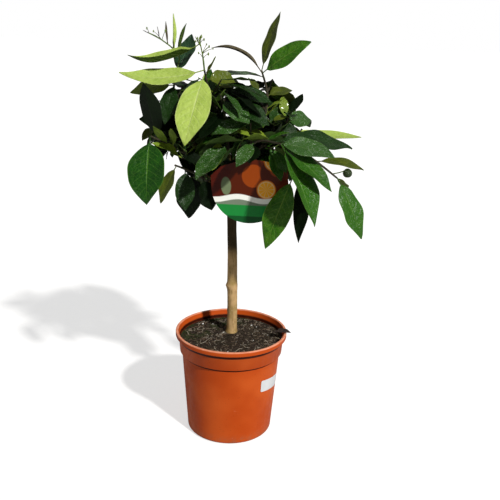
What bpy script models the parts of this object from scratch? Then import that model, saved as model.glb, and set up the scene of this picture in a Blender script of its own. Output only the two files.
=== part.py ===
"""A young orange tree in a 20 cm plastic pot, with the picture tag it is sold with.

Metres, +Z up. The origin is the middle of the pot's underside, and the front is towards -Y.
Places in the crown are written in millimetres and turned into metres by place().
"""

import math
import random
from dataclasses import dataclass

import bmesh
import bpy
from mathutils import Quaternion, Vector
from mathutils.bvhtree import BVHTree

MM = 0.001
GAP = 0.3 * MM
UP = Vector((0.0, 0.0, 1.0))
TURN = 2.0 * math.pi

# Pot
POT_HEIGHT = 0.190
RIM_RADIUS = 0.100
LIP_HEIGHT = 0.0085
LIP_WIDTH = 0.0045
LIP_ROUNDING = 0.0012
COLLAR_FOOT = 0.1530
COLLAR_TOP_RADIUS = 0.0945
COLLAR_FOOT_RADIUS = 0.0922
WALL_TOP = 0.1515
WALL_TOP_RADIUS = 0.0884
BASE_RADIUS = 0.0772
BASE_ROUNDING = 0.0055
POT_WALL = 0.0018
POT_FLOOR = 0.0025
POT_STEPS = 36
DRAIN_HOLES = 8
DRAIN_RING_RADIUS = 0.052
DRAIN_HOLE_RADIUS = 0.0045
DRAIN_SIDES = 8

# Compost
SOIL_EDGE = 0.175
SOIL_TOP = 0.1802
SOIL_CROWN_RADIUS = 0.026
SOIL_STEPS = 24

# Trunk: height on the axis, its place sideways and its radius, in millimetres
TRUNK_FOOT = SOIL_TOP + GAP
TRUNK_AXIS = (
    (0.0, 12.0, TRUNK_FOOT / MM),
    (0.3, 12.0, 186.0),
    (0.5, 12.0, 198.0),
    (0.5, 12.0, 225.0),
    (-0.2, 12.0, 256.0),
    (-0.6, 12.0, 270.0),
    (-0.8, 12.0, 282.0),
    (-1.6, 12.0, 330.0),
    (-3.4, 12.0, 375.0),
    (-4.6, 11.5, 415.0),
    (-5.0, 11.0, 440.0),
    (-5.5, 10.0, 475.0),
    (-6.0, 9.0, 505.0),
)
TRUNK_RADII = (11.2, 9.8, 9.1, 8.9, 9.0, 9.6, 8.9, 8.5, 8.1, 8.2, 9.0, 7.6, 5.6)
TRUNK_SIDES = 12
KNOB_RING = 5
KNOB_REACH = 2.6

# Crown: the space that grown leaves keep to
CROWN_MIDDLE = Vector((-0.015, 0.015, 0.535))
CROWN_RADII = Vector((0.145, 0.165, 0.112))
CROWN_FRONT = -0.075
CROWN_BACK_HANG = 0.30
STAND_OFF = 0.5 * MM

# What is seen clear of leaves from the eye, the sky's gaps and the tag's face: the middle and
# radius of each, and how far back nothing stands before it
EYE = Vector((0.0293, -1.15, 0.6958))
CLEAR_SIGHTS = (
    ((-122, 0, 584), 6.0, 1000.0),
    ((-109, 0, 485), 12.0, 1000.0),
    ((162, 0, 505), 6.0, 1000.0),
    ((24, -49, 452), 50.0, -47.0),
)
SIGHT_SHARES = (0.3, 0.55, 0.8, 1.0)
SIGHT_WIDTH_SHARE = 0.7

# Limbs
BOUGH_RADIUS = 4.0 * MM
BOUGH_TIP_RADIUS = 2.8 * MM
BOUGH_SIDES = 6
BOUGH_STEPS = 4
BOUGH_SPREAD = 0.60
BOUGH_RISE = 0.25
STEM_RADIUS = 2.8 * MM
STEM_TIP_RADIUS = 1.5 * MM
STEM_SIDES = 5
TWIG_RADIUS = 1.5 * MM
TWIG_TIP_RADIUS = 1.1 * MM
TWIG_SIDES = 3
TWIG_LENGTHS = (24.0 * MM, 52.0 * MM)
TWIGS_PER_MASS = 14
STEP_STRIDE = 5
TWIG_TRIES = 8
TWIG_SEATS = (0.30, 0.55, 0.80, 1.0)
TWIG_LEAST_LEAVES = 2
TWIG_OUT = 0.9
TWIG_ALONG = 0.4
TWIG_AWAY = 0.3
TWIG_LIFT = 0.1
TWIG_RISES = (-0.05, 0.25)
TWIG_SWAY = TURN * 0.3
STEM_SEATS = (0.08, 0.98)
GOLDEN_TURN = TURN * 0.382

# Leaves: shares of the whole length from the seat to the tip
STALK_SHARE = 0.12
STALK_WIDTH = 2.0 * MM
STALK_THICKNESS = 2.0 * MM
NEAR_STATIONS = (0.0, STALK_SHARE, 0.22, 0.46, 0.76)
FAR_STATIONS = (0.0, 0.33, 0.68)
BLADE_THICKNESS = 1.4 * MM
BLADE_THICKNESS_SHARE = 0.0105
BASE_POWER = 0.65
TIP_POWER = 0.75
LEAF_LENGTHS = (70.0 * MM, 104.0 * MM)
LEAF_WIDTH_SHARES = (0.42, 0.52)
LEAVES_PER_MASS = 12
LEAF_TRIES = 18
LEAF_SHRINK = 0.45
LEAF_AHEAD = (0.2, 0.7)
LEAF_OUT = 0.85
LEAF_SAGS = (0.3, 0.9)
LEAF_ROLLS = (-50.0, 50.0)
LEAF_DROOPS = (12.0, 36.0)
FLICK_START = 0.65

# Fruit
FRUIT_RADIUS = 7.5 * MM

# Tag: a card with straight sides and a round foot, threaded on a twig by the eye in its tab
TAG_EYE = Vector((0.0210, -0.0490, 0.5266))
TAG_TILT = math.radians(4.5)
TAG_HALF_WIDTH = 0.0625
TAG_DROP = 0.0623
TAG_SHOULDER = 0.0276
TAG_SHOULDER_SHARE = 0.72
TAG_CORNER_DROP = 0.0140
TAG_NECK_RISE = 0.0080
TAG_TAB_HALF_WIDTH = 0.0120
TAG_TAB_STEPS = 8
TAG_THICKNESS = 0.0008
TAG_EYE_RADIUS = 0.0075
TAG_EYE_STEPS = 16
TAG_ARC_STEPS = 24


@dataclass(frozen=True)
class Leaf:
    """A leaf placed by hand: where it sits on its shoot, and where its tip hangs."""

    seat: float
    tip: tuple
    width: float
    roll: float = 0.0
    droop: float = 20.0
    flick: float = 0.0
    fold: float = 12.0


@dataclass(frozen=True)
class Shoot:
    """A side shoot placed by hand: its seat on the stem, the places it passes, its leaves."""

    seat: float
    route: tuple
    leaves: tuple = ()
    radii: tuple = (1.5, 0.9)


@dataclass(frozen=True)
class Spray:
    """A mass of foliage on one bough: its stem, the shoots seen from the front, and a seed."""

    name: str
    bough_height: float
    bough_tip: tuple
    stem: tuple
    leaves: tuple = ()
    shoots: tuple = ()
    fruit: tuple = ()
    seed: int = 1


SPRAYS = (
    Spray(
        "upper_left",
        486.0,
        (-31, -17, 560),
        ((-37, -25, 585), (-44, -36, 614), (-50, -50, 645)),
        leaves=(
            Leaf(0.95, (-73, -125, 538), 53, roll=-4, droop=18, fold=10),
            Leaf(1.00, (-178, -70, 635), 36, roll=-42, droop=-40, flick=5, fold=12),
            Leaf(0.85, (-1, -14, 624), 34, roll=50, droop=28, fold=14),
            Leaf(0.90, (-32, -60, 666), 18, roll=30, droop=-8, fold=14),
        ),
        shoots=(
            Shoot(
                1.00,
                ((-53, -50, 668), (-58, -49, 688)),
                (
                    Leaf(0.90, (-163, -56, 651), 32, roll=-10, droop=-36, flick=14, fold=42),
                    Leaf(0.55, (-44, -50, 679), 5, droop=10),
                    Leaf(0.80, (-64, -52, 694), 5, droop=-10),
                    Leaf(1.00, (-55, -46, 697), 5, droop=5),
                ),
                (1.4, 0.9),
            ),
        ),
        seed=3,
    ),
    Spray(
        "upper_right",
        490.0,
        (26, -24, 540),
        ((42, -40, 560), (48, -36, 585), (49, -16, 612), (39, -10, 645)),
        leaves=(
            Leaf(1.00, (66, 18, 736), 30, roll=-12, droop=8, fold=14),
            Leaf(0.97, (113, -42, 692), 36, roll=62, droop=22, fold=12),
            Leaf(0.95, (-43, 0, 677), 12, roll=-12, droop=76, fold=36),
            Leaf(0.80, (9, 34, 612), 32, roll=-20, droop=24),
            Leaf(0.70, (90, 0, 615), 26, roll=24, droop=34),
            Leaf(0.42, (68, -52, 600), 12, roll=30, droop=-12),
            Leaf(0.52, (78, -34, 604), 12, roll=10, droop=14),
        ),
        seed=8,
    ),
    Spray(
        "front_right",
        455.0,
        (6, -34, 514),
        ((21, -49, 530), (43, -63, 541), (72, -90, 540)),
        leaves=(
            Leaf(1.00, (126, -140, 424), 58, roll=-6, droop=16, fold=24),
            Leaf(0.97, (151, -120, 475), 40, roll=20, droop=18, fold=14),
            Leaf(0.93, (154, -100, 524), 40, roll=34, droop=20, fold=12),
            Leaf(0.86, (190, -30, 527), 44, roll=32, droop=34, fold=14),
            Leaf(0.74, (84, -70, 556), 20, roll=10, droop=14),
            Leaf(0.48, (4, -110, 506), 23, roll=-24, droop=20, fold=16),
            Leaf(0.44, (24, -72, 506), 32, roll=0, droop=14),
        ),
        seed=21,
    ),
    Spray(
        "right",
        440.0,
        (78, -30, 530),
        ((104, -50, 524), (136, -62, 506), (164, -70, 486)),
        leaves=(
            Leaf(1.00, (206, -92, 393), 40, roll=26, droop=20, fold=14),
            Leaf(0.60, (207, -60, 498), 26, roll=20, droop=34, fold=16),
            Leaf(0.95, (184, -56, 466), 24, roll=0, droop=8),
            Leaf(0.50, (107, -80, 380), 30, roll=0, droop=10, fold=14),
        ),
        shoots=(
            Shoot(
                0.25,
                ((99, -62, 508), (94, -78, 489)),
                (Leaf(1.00, (53, -108, 377), 46, roll=-22, droop=10, fold=10),),
                (1.4, 1.0),
            ),
        ),
        fruit=(0.90, (180, -68, 494)),
        seed=5,
    ),
    Spray(
        "front_upper_right",
        474.0,
        (36, -24, 520),
        ((56, -32, 538), (76, -36, 556), (86, -32, 580)),
        leaves=(
            Leaf(0.45, (93, -62, 577), 24, roll=24, droop=18),
            Leaf(0.42, (208, 0, 541), 32, roll=20, droop=10, flick=2, fold=12),
            Leaf(0.85, (121, -22, 571), 34, roll=44, droop=30),
            Leaf(1.00, (108, 10, 609), 18, roll=0, droop=6),
            Leaf(0.72, (124, 16, 566), 38, roll=10, droop=34),
        ),
        seed=13,
    ),
    Spray(
        "front",
        470.0,
        (-11, -38, 522),
        ((-14, -48, 552), (-19, -54, 588), (-24, -52, 608)),
        leaves=(
            Leaf(0.86, (22, -92, 569), 36, roll=14, droop=14),
            Leaf(0.10, (-56, -120, 486), 36, roll=-6, droop=16),
            Leaf(0.60, (-52, -92, 545), 34, roll=0, droop=20),
            Leaf(0.45, (24, -74, 548), 20, roll=10, droop=20),
        ),
        shoots=(
            Shoot(
                1.00,
                ((-16, -58, 618),),
                (
                    Leaf(1.0, (40, -70, 578), 24, roll=8, droop=24),
                    Leaf(0.5, (12, -96, 584), 14, roll=-6, droop=20),
                ),
            ),
        ),
        seed=34,
    ),
    Spray(
        "left",
        468.0,
        (-84, -27, 556),
        ((-93, -32, 576), (-99, -41, 602), (-97, -37, 630)),
        leaves=(
            Leaf(0.88, (-168, -36, 606), 34, roll=-45, droop=30),
            Leaf(0.02, (-154, -40, 566), 40, roll=-52, droop=24),
            Leaf(0.92, (-110, -66, 562), 30, roll=-8, droop=12),
        ),
        shoots=(
            Shoot(
                1.00,
                ((-92, -32, 652), (-93, -30, 668), (-119, -30, 688), (-138, -30, 697)),
                (
                    Leaf(0.56, (-101, -22, 727), 8, roll=40, droop=6, fold=24),
                    Leaf(0.42, (-79, -38, 713), 12, roll=10, droop=18, fold=24),
                    Leaf(0.58, (-99, -8, 706), 5, droop=-8),
                    Leaf(0.66, (-112, -28, 715), 5, droop=-8),
                    Leaf(0.78, (-125, -30, 707), 4, droop=4),
                    Leaf(1.00, (-147, -31, 701), 4, droop=0),
                    Leaf(0.10, (-74, 4, 697), 36, roll=0, droop=-16),
                ),
                (1.5, 0.9),
            ),
        ),
        seed=55,
    ),
    Spray(
        "lower_left",
        450.0,
        (-70, -31, 505),
        ((-88, -42, 518), (-110, -56, 532), (-132, -70, 543)),
        leaves=(
            Leaf(1.00, (-133, -112, 443), 64, roll=16, droop=18, fold=10),
            Leaf(0.82, (-138, -92, 626), 36, roll=10, droop=-8),
            Leaf(0.62, (-124, -94, 562), 13, roll=20, droop=-8),
            Leaf(0.50, (-96, -104, 560), 12, roll=-20, droop=16),
            Leaf(0.40, (-152, -30, 500), 36, roll=0, droop=26),
        ),
        seed=17,
    ),
    Spray(
        "bottom_left",
        436.0,
        (-44, -34, 468),
        ((-58, -42, 478), (-76, -50, 488), (-96, -54, 496)),
        leaves=(
            Leaf(0.95, (-117, -70, 436), 30, roll=-10, droop=16),
            Leaf(0.50, (-73, -52, 408), 54, roll=-8, droop=14),
            Leaf(0.18, (-36, -42, 420), 36, roll=68, droop=6),
            Leaf(0.72, (-76, -82, 428), 32, roll=8, droop=16, fold=14),
        ),
        seed=29,
    ),
    Spray(
        "back_left",
        458.0,
        (-58, 62, 520),
        ((-70, 76, 542), (-80, 88, 566), (-84, 96, 590)),
        seed=41,
    ),
    Spray(
        "back_right",
        444.0,
        (56, 66, 514),
        ((68, 80, 536), (76, 90, 562), (78, 96, 588)),
        seed=62,
    ),
    Spray(
        "back",
        474.0,
        (-4, 84, 520),
        ((-4, 104, 534), (-4, 122, 552), (-6, 134, 574)),
        seed=77,
    ),
    Spray(
        "low_back_left",
        438.0,
        (-34, 52, 474),
        ((-42, 64, 484), (-52, 78, 494), (-64, 92, 500)),
        seed=19,
    ),
    Spray(
        "low_back_right",
        432.0,
        (34, 48, 468),
        ((44, 58, 478), (56, 70, 488), (66, 84, 494)),
        seed=23,
    ),
    Spray(
        "side_right",
        458.0,
        (66, 26, 496),
        ((84, 32, 510), (100, 38, 528), (112, 42, 548)),
        seed=91,
    ),
    Spray(
        "side_left",
        478.0,
        (-78, 26, 514),
        ((-96, 28, 522), (-114, 30, 534), (-128, 30, 552)),
        seed=38,
    ),
    Spray(
        "top",
        0.0,
        (),
        ((-7, 10, 535), (-6, 18, 570), (-8, 24, 604)),
        seed=46,
    ),
)


def place(point) -> Vector:
    """Turn a place in millimetres into metres."""
    return Vector(point) * MM


def clear_objects() -> None:
    """Remove every object that the file opened with."""
    for obj in list(bpy.data.objects):
        bpy.data.objects.remove(obj, do_unlink=True)


def make_material(name, colour, roughness, metallic=0.0):
    """Make a plain material of one colour."""
    material = bpy.data.materials.new(name)
    material.use_nodes = True
    shader = material.node_tree.nodes["Principled BSDF"]
    shader.inputs["Base Color"].default_value = (*colour, 1.0)
    shader.inputs["Roughness"].default_value = roughness
    shader.inputs["Metallic"].default_value = metallic
    return material


def add_object(name, bm, material=None, smooth=True):
    """Turn a bmesh into an object with its faces pointing out."""
    bmesh.ops.recalc_face_normals(bm, faces=bm.faces)
    mesh = bpy.data.meshes.new(name)
    bm.to_mesh(mesh)
    bm.free()
    if smooth:
        mesh.shade_smooth()
        mesh.set_sharp_from_angle(angle=math.radians(35.0))
    if material:
        mesh.materials.append(material)
    obj = bpy.data.objects.new(name, mesh)
    bpy.context.scene.collection.objects.link(obj)
    return obj


def apply_modifiers(obj) -> None:
    """Replace an object's mesh by the mesh that its modifiers give."""
    evaluated = obj.evaluated_get(bpy.context.evaluated_depsgraph_get())
    mesh = bpy.data.meshes.new_from_object(evaluated)
    obj.modifiers.clear()
    obj.data = mesh


def remove_objects(objects) -> None:
    """Remove objects that were only needed to shape another."""
    for obj in objects:
        bpy.data.objects.remove(obj, do_unlink=True)


def spin_profile(profile, steps):
    """Turn a profile of (radius, height) points once round the Z axis."""
    bm = bmesh.new()
    verts = [bm.verts.new((radius, 0.0, height)) for radius, height in profile]
    edges = [bm.edges.new(pair) for pair in zip(verts, verts[1:])]
    bmesh.ops.spin(
        bm,
        geom=verts + edges,
        cent=(0.0, 0.0, 0.0),
        axis=UP,
        angle=TURN,
        steps=steps,
        use_merge=True,
    )
    bmesh.ops.remove_doubles(bm, verts=bm.verts, dist=1e-6)
    return bm


def arc(middle, radius, start, end, steps):
    """Points of an arc in a profile, in degrees from the outward direction."""
    angles = (math.radians(start + (end - start) * i / steps) for i in range(steps + 1))
    return [(middle[0] + radius * math.cos(a), middle[1] + radius * math.sin(a)) for a in angles]


# Paths and rings of points


class Path:
    """A smooth line through given points, which gives a place and a heading at any share."""

    def __init__(self, points, steps=3):
        """Sample a curve that passes through the points."""
        ends = [points[0] * 2 - points[1], *points, points[-1] * 2 - points[-2]]
        self.points = [points[0].copy()]
        for a, b, c, d in zip(ends, ends[1:], ends[2:], ends[3:]):
            for i in range(1, steps + 1):
                t = i / steps
                self.points.append(
                    0.5
                    * (2 * b + (c - a) * t + (2 * a - 5 * b + 4 * c - d) * t**2
                       + (3 * b - a - 3 * c + d) * t**3)
                )

    def at(self, share):
        """Give the place and the heading at a share of the way."""
        spot = min(max(share, 0.0), 1.0) * (len(self.points) - 1)
        i = min(int(spot), len(self.points) - 2)
        step = self.points[i + 1] - self.points[i]
        return self.points[i] + step * (spot - i), step.normalized()

    def headings(self, first=None):
        """Give the heading at each point, with the first one given where it is known."""
        last = len(self.points) - 1
        found = [
            (self.points[min(i + 1, last)] - self.points[max(i - 1, 0)]).normalized()
            for i in range(last + 1)
        ]
        if first is not None:
            found[0] = first
        return found


def tube_rings(path, radii, sides, first=None):
    """Rings of points square to a path, each with its own radius."""
    rings = []
    headings = path.headings(first)
    side = headings[0].orthogonal().normalized()
    for point, heading, radius in zip(path.points, headings, radii):
        side = (side - heading * side.dot(heading)).normalized()
        across = heading.cross(side)
        angles = (TURN * i / sides for i in range(sides))
        rings.append(
            [point + (side * math.cos(a) + across * math.sin(a)) * radius for a in angles]
        )
    return rings


def tapered(foot, tip, count):
    """Radii that shrink evenly along a limb."""
    return [foot + (tip - foot) * i / (count - 1) for i in range(count)]


def ring_faces(rings, point=None):
    """Corner lists and faces of a closed solid through rings, blunt or pointed at its end."""
    sides = len(rings[0])
    verts = [vert for ring in rings for vert in ring]
    faces = [tuple(reversed(range(sides)))]
    for row in range(len(rings) - 1):
        for i in range(sides):
            a, b = row * sides + i, row * sides + (i + 1) % sides
            faces.append((a, b, b + sides, a + sides))
    last = (len(rings) - 1) * sides
    if point is None:
        faces.append(tuple(range(last, last + sides)))
    else:
        verts.append(point)
        faces += [(last + i, last + (i + 1) % sides, len(verts) - 1) for i in range(sides)]
    return verts, faces


def ring_solid(name, rings, point=None, material=None, smooth=True):
    """Make an object from rings."""
    verts, faces = ring_faces(rings, point)
    bm = bmesh.new()
    corners = [bm.verts.new(vert) for vert in verts]
    for face in faces:
        bm.faces.new([corners[i] for i in face])
    return add_object(name, bm, material, smooth)


# Leaves


def blade_share(u):
    """A leaf's half width at a share of its blade, as a share of the widest."""
    widest = BASE_POWER / (BASE_POWER + TIP_POWER)
    most = widest**BASE_POWER * (1.0 - widest) ** TIP_POWER
    return u**BASE_POWER * (1.0 - u) ** TIP_POWER / most


@dataclass
class Blade:
    """A leaf in its place: its seat, its tip and how it bends."""

    seat: Vector
    tip: Vector
    width: float
    roll: float
    droop: float
    flick: float
    fold: float
    stations: tuple

    def frame(self, share):
        """Give the midrib's place, the upper side's direction and the side at a share."""
        chord = self.tip - self.seat
        along = chord.normalized()
        above = (UP - along * along.z).normalized()
        above.rotate(Quaternion(along, math.radians(self.roll)))
        side = along.cross(above)
        bend = math.radians(self.droop)
        if abs(bend) < 1e-3:
            bend = 1e-3
        radius = chord.length / (2.0 * math.sin(bend / 2.0))
        angle = bend * (share - 0.5)
        ahead = radius * (math.sin(angle) + math.sin(bend / 2.0))
        rise = radius * (math.cos(angle) - math.cos(bend / 2.0))
        rise += self.flick * max(0.0, (share - FLICK_START) / (1.0 - FLICK_START)) ** 2
        spot = self.seat + along * ahead + above * rise
        return spot, above * math.cos(angle) + along * math.sin(angle), side

    def half_width(self, share):
        """Give half the leaf's width at a share of its length."""
        if share <= STALK_SHARE:
            return STALK_WIDTH / 2.0
        u = (share - STALK_SHARE) / (1.0 - STALK_SHARE)
        return max(self.width / 2.0 * blade_share(u), STALK_WIDTH / 2.0)

    def thickness(self, share):
        """Give the leaf's thickness at its midrib."""
        if share <= STALK_SHARE:
            return STALK_THICKNESS
        return max(BLADE_THICKNESS, BLADE_THICKNESS_SHARE * (self.tip - self.seat).length)

    def lift(self, share, half):
        """Give how far the leaf's edges stand above its midrib."""
        return 0.0 if share <= STALK_SHARE else half * math.tan(math.radians(self.fold))

    def rings(self):
        """Rings through the two edges and the midrib below, and also above on a folded leaf."""
        rings = []
        for share in self.stations:
            spot, above, side = self.frame(share)
            half, thick = self.half_width(share), self.thickness(share) / 2.0
            lift = self.lift(share, half)
            left, right = above * lift - side * half, above * lift + side * half
            low = above * (thick if self.fold else 2.0 * thick)
            ring = [spot + left, spot - low, spot + right]
            rings.append([*ring, spot + above * thick] if self.fold else ring)
        return rings

    def point(self):
        """Give the leaf's very tip."""
        return self.frame(1.0)[0]

    def room(self, blade_only):
        """The leaf grown by the stand-off all over, for testing what it would touch."""
        rings = []
        shares = [share for share in self.stations if share > STALK_SHARE or not blade_only]
        for share in (*shares, 1.0):
            spot, above, side = self.frame(share)
            half = (self.half_width(share) if share < 1.0 else 0.0) + STAND_OFF
            thick = self.thickness(share) / 2.0 + STAND_OFF
            lift = self.lift(share, half)
            low, high = -above * thick, above * thick
            left, right = above * lift - side * half, above * lift + side * half
            rings.append([spot + left + high, spot + left + low, spot + low,
                          spot + right + low, spot + right + high, spot + high])
        return BVHTree.FromPolygons(*ring_faces(rings))


# Room: what each mass has taken, so that the masses keep clear of each other


class Room:
    """Everything placed so far, by the mass that owns it."""

    def __init__(self):
        """Start with nothing placed."""
        self.limbs = []
        self.blades = []

    def take_limb(self, owner, path, radii):
        """Keep the room that a limb fills."""
        self.limbs.append((owner, self.limb_tree(path, radii)))

    def take_leaf(self, owner, blade):
        """Keep the room that a leaf fills."""
        self.blades.append((owner, blade.room(True), blade.room(False)))

    @staticmethod
    def limb_tree(path, radii):
        """A limb grown by the stand-off all over."""
        rings = tube_rings(path, [radius + STAND_OFF for radius in radii], TWIG_SIDES + 2)
        return BVHTree.FromPolygons(*ring_faces(rings))

    def leaf_fits(self, owner, blade, own_limbs=True):
        """Say whether a leaf stays clear of the limbs and leaves that it isn't rooted in."""
        part, whole = blade.room(True), blade.room(False)
        for other, tree in self.limbs:
            if other != owner and whole.overlap(tree):
                return False
            if other == owner and own_limbs and part.overlap(tree):
                return False
        for other, other_part, other_whole in self.blades:
            if other == owner and part.overlap(other_part):
                return False
            if other != owner and whole.overlap(other_whole):
                return False
        return True

    def limb_fits(self, owner, path, radii):
        """Say whether a limb stays clear of the other masses and of every blade."""
        tree = self.limb_tree(path, radii)
        for other, other_tree in self.limbs:
            if other != owner and tree.overlap(other_tree):
                return False
        return not any(
            tree.overlap(part if other == owner else whole) for other, part, whole in self.blades
        )


def in_crown(point) -> bool:
    """Say whether a place lies in the space that grown twigs and leaf tips keep to."""
    away = point - CROWN_MIDDLE
    depth = CROWN_RADII.z
    if away.z < 0.0:
        depth += CROWN_BACK_HANG * max(0.0, away.y)
    scaled = Vector((away.x / CROWN_RADII.x, away.y / CROWN_RADII.y, away.z / depth))
    return scaled.length < 1.0 and point.y > CROWN_FRONT


def blocks_view(blade) -> bool:
    """Say whether a leaf would close a gap that the sky shows through, or hide the tag's face."""
    for share in SIGHT_SHARES:
        spot = blade.frame(share)[0]
        away = spot - EYE
        reach = blade.half_width(share) * SIGHT_WIDTH_SHARE
        for middle, radius, depth in CLEAR_SIGHTS:
            sight = (place(middle) - EYE).normalized()
            off = (away - sight * away.dot(sight)).length
            if spot.y < depth * MM and off < radius * MM + reach:
                return True
    return False


# Growth


@dataclass
class Growth:
    """A mass of foliage as it stands: its limbs and its leaves."""

    name: str
    stem: Path
    stem_radii: list
    stem_heading: Vector
    twigs: list
    blades: list
    grown: int = 0


def bough_path(spray):
    """The line of a bough from the trunk's axis, out first and then up to its tip."""
    foot = trunk_axis_at(spray.bough_height * MM)
    tip = place(spray.bough_tip)
    reach = tip - foot
    bend = foot + Vector((reach.x * BOUGH_SPREAD, reach.y * BOUGH_SPREAD, reach.z * BOUGH_RISE))
    points = []
    for i in range(BOUGH_STEPS + 1):
        t = i / BOUGH_STEPS
        points.append(foot * (1 - t) ** 2 + bend * (2 * t * (1 - t)) + tip * t**2)
    return Path(points, 1), (tip - bend).normalized()


def trunk_axis_at(height):
    """The place on the trunk's axis at a height."""
    axis = [place(point) for point in TRUNK_AXIS]
    for low, high in zip(axis, axis[1:]):
        if low.z <= height <= high.z:
            return low.lerp(high, (height - low.z) / (high.z - low.z))
    return axis[-1]


def stem_start(spray):
    """Where a mass's stem begins, just clear of what carries it, and its heading there."""
    if spray.bough_height:
        path, heading = bough_path(spray)
        return path.points[-1] + heading * GAP, heading
    top, below = place(TRUNK_AXIS[-1]), place(TRUNK_AXIS[-2])
    heading = (top - below).normalized()
    return top + heading * GAP, heading


def place_leaf(growth, room, path, leaf):
    """Add a leaf that is placed by hand, where it stays clear."""
    blade = Blade(path.at(leaf.seat)[0], place(leaf.tip), leaf.width * MM, leaf.roll,
                  leaf.droop, leaf.flick * MM, leaf.fold, NEAR_STATIONS)
    if room.leaf_fits(growth.name, blade, own_limbs=False):
        room.take_leaf(growth.name, blade)
        growth.blades.append(blade)


def start_growth(spray, room):
    """Lay a mass's stem."""
    start, heading = stem_start(spray)
    path = Path([start, *(place(point) for point in spray.stem)])
    radii = tapered(STEM_RADIUS, STEM_TIP_RADIUS, len(path.points))
    room.take_limb(spray.name, path, radii)
    return Growth(spray.name, path, radii, heading, [], [])


def place_by_hand(spray, growth, room):
    """Add the leaves and shoots that are placed by hand."""
    for leaf in spray.leaves:
        place_leaf(growth, room, growth.stem, leaf)
    for shoot in spray.shoots:
        foot = growth.stem.at(shoot.seat)[0]
        path = Path([foot, *(place(point) for point in shoot.route)], 2)
        radii = tapered(shoot.radii[0] * MM, shoot.radii[1] * MM, len(path.points))
        growth.twigs.append((path, radii))
        room.take_limb(spray.name, path, radii)
        for leaf in shoot.leaves:
            place_leaf(growth, room, path, leaf)


def drawn_leaf(draw, foot, heading, turn, size):
    """Draw a leaf that stands out from a twig, turned round it, and hangs."""
    out = heading.orthogonal().normalized()
    out.rotate(Quaternion(heading, turn))
    aim = heading * draw.uniform(*LEAF_AHEAD) + out * LEAF_OUT
    aim.z -= draw.uniform(*LEAF_SAGS)
    length = draw.uniform(*LEAF_LENGTHS) * size
    width = length * draw.uniform(*LEAF_WIDTH_SHARES)
    return Blade(foot, foot + aim.normalized() * length, width, draw.uniform(*LEAF_ROLLS),
                 draw.uniform(*LEAF_DROOPS), 0.0, 0.0, FAR_STATIONS)


def drawn_twig(growth, draw, step):
    """Draw a side twig that leaves the stem outwards."""
    first, last = STEM_SEATS
    seat = first + (last - first) * (step + 0.5 * draw.random()) / TWIGS_PER_MASS
    foot, along = growth.stem.at(seat)
    out = along.orthogonal().normalized()
    out.rotate(Quaternion(along, GOLDEN_TURN * step + TWIG_SWAY * draw.random()))
    away = (foot - CROWN_MIDDLE).normalized()
    heading = out * TWIG_OUT + along * TWIG_ALONG + away * TWIG_AWAY + UP * TWIG_LIFT
    heading.normalize()
    length = draw.uniform(*TWIG_LENGTHS)
    rise = UP * length * draw.uniform(*TWIG_RISES)
    path = Path([foot, foot + heading * length * 0.5, foot + heading * length + rise], 2)
    return path, tapered(TWIG_RADIUS, TWIG_TIP_RADIUS, len(path.points))


def grow_leaf(growth, room, draw, path, share, turn):
    """Grow a leaf at a seat on a twig, from the first few draws that find room."""
    own_twig = room.limb_tree(path, tapered(TWIG_RADIUS, TWIG_TIP_RADIUS, len(path.points)))
    foot, heading = path.at(share)
    for attempt in range(LEAF_TRIES):
        size = 1.0 - LEAF_SHRINK * attempt / LEAF_TRIES
        blade = drawn_leaf(draw, foot, heading, turn + GOLDEN_TURN * attempt, size)
        if not in_crown(blade.tip) or blocks_view(blade):
            continue
        if blade.room(True).overlap(own_twig):
            continue
        if room.leaf_fits(growth.name, blade):
            room.take_leaf(growth.name, blade)
            return blade
    return None


def grow_twig(spray, growth, room, step):
    """Grow one side twig with its leaves, where there is room for enough of them."""
    draw = random.Random(spray.seed * 100 + step)
    for _ in range(TWIG_TRIES):
        path, radii = drawn_twig(growth, draw, step)
        if not in_crown(path.points[-1]) or not room.limb_fits(spray.name, path, radii):
            continue
        grown = [
            grow_leaf(growth, room, draw, path, share, GOLDEN_TURN * i)
            for i, share in enumerate(TWIG_SEATS)
        ]
        kept = [blade for blade in grown if blade]
        if len(kept) >= TWIG_LEAST_LEAVES:
            room.take_limb(spray.name, path, radii)
            growth.twigs.append((path, radii))
            growth.blades += kept
            growth.grown += len(kept)
            return


def grow_crown():
    """Place what is seen from the front first, then let each mass fill its own space."""
    room = Room()
    trunk = Path([place(point) for point in TRUNK_AXIS], 1)
    room.take_limb("trunk", trunk, [radius * MM for radius in TRUNK_RADII])
    room.limbs.append(("tag", BVHTree.FromPolygons(*tag_room())))
    for spray in SPRAYS:
        if spray.bough_height:
            path = bough_path(spray)[0]
            room.take_limb("bough", path, bough_radii(path))
    growths = [start_growth(spray, room) for spray in SPRAYS]
    for spray, growth in zip(SPRAYS, growths):
        place_by_hand(spray, growth, room)
    for step in range(TWIGS_PER_MASS):
        for spray, growth in zip(SPRAYS, growths):
            if growth.grown < LEAVES_PER_MASS:
                grow_twig(spray, growth, room, step * STEP_STRIDE % TWIGS_PER_MASS)
    return growths


def bough_radii(path):
    """A bough's radii from the trunk to its tip."""
    return tapered(BOUGH_RADIUS, BOUGH_TIP_RADIUS, len(path.points))


# Pot and compost


def wall_profile():
    """The pot's outside from the middle of its underside to the lip's outer edge."""
    rounding = (BASE_RADIUS - BASE_ROUNDING, BASE_ROUNDING)
    lip_foot = POT_HEIGHT - LIP_HEIGHT
    return [
        (0.0, 0.0),
        *arc(rounding, BASE_ROUNDING, -90.0, 0.0, 3),
        (WALL_TOP_RADIUS, WALL_TOP),
        (COLLAR_FOOT_RADIUS, COLLAR_FOOT),
        (COLLAR_TOP_RADIUS, lip_foot - LIP_ROUNDING),
        (RIM_RADIUS - LIP_ROUNDING, lip_foot),
        (RIM_RADIUS, lip_foot + LIP_ROUNDING),
    ]


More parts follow.
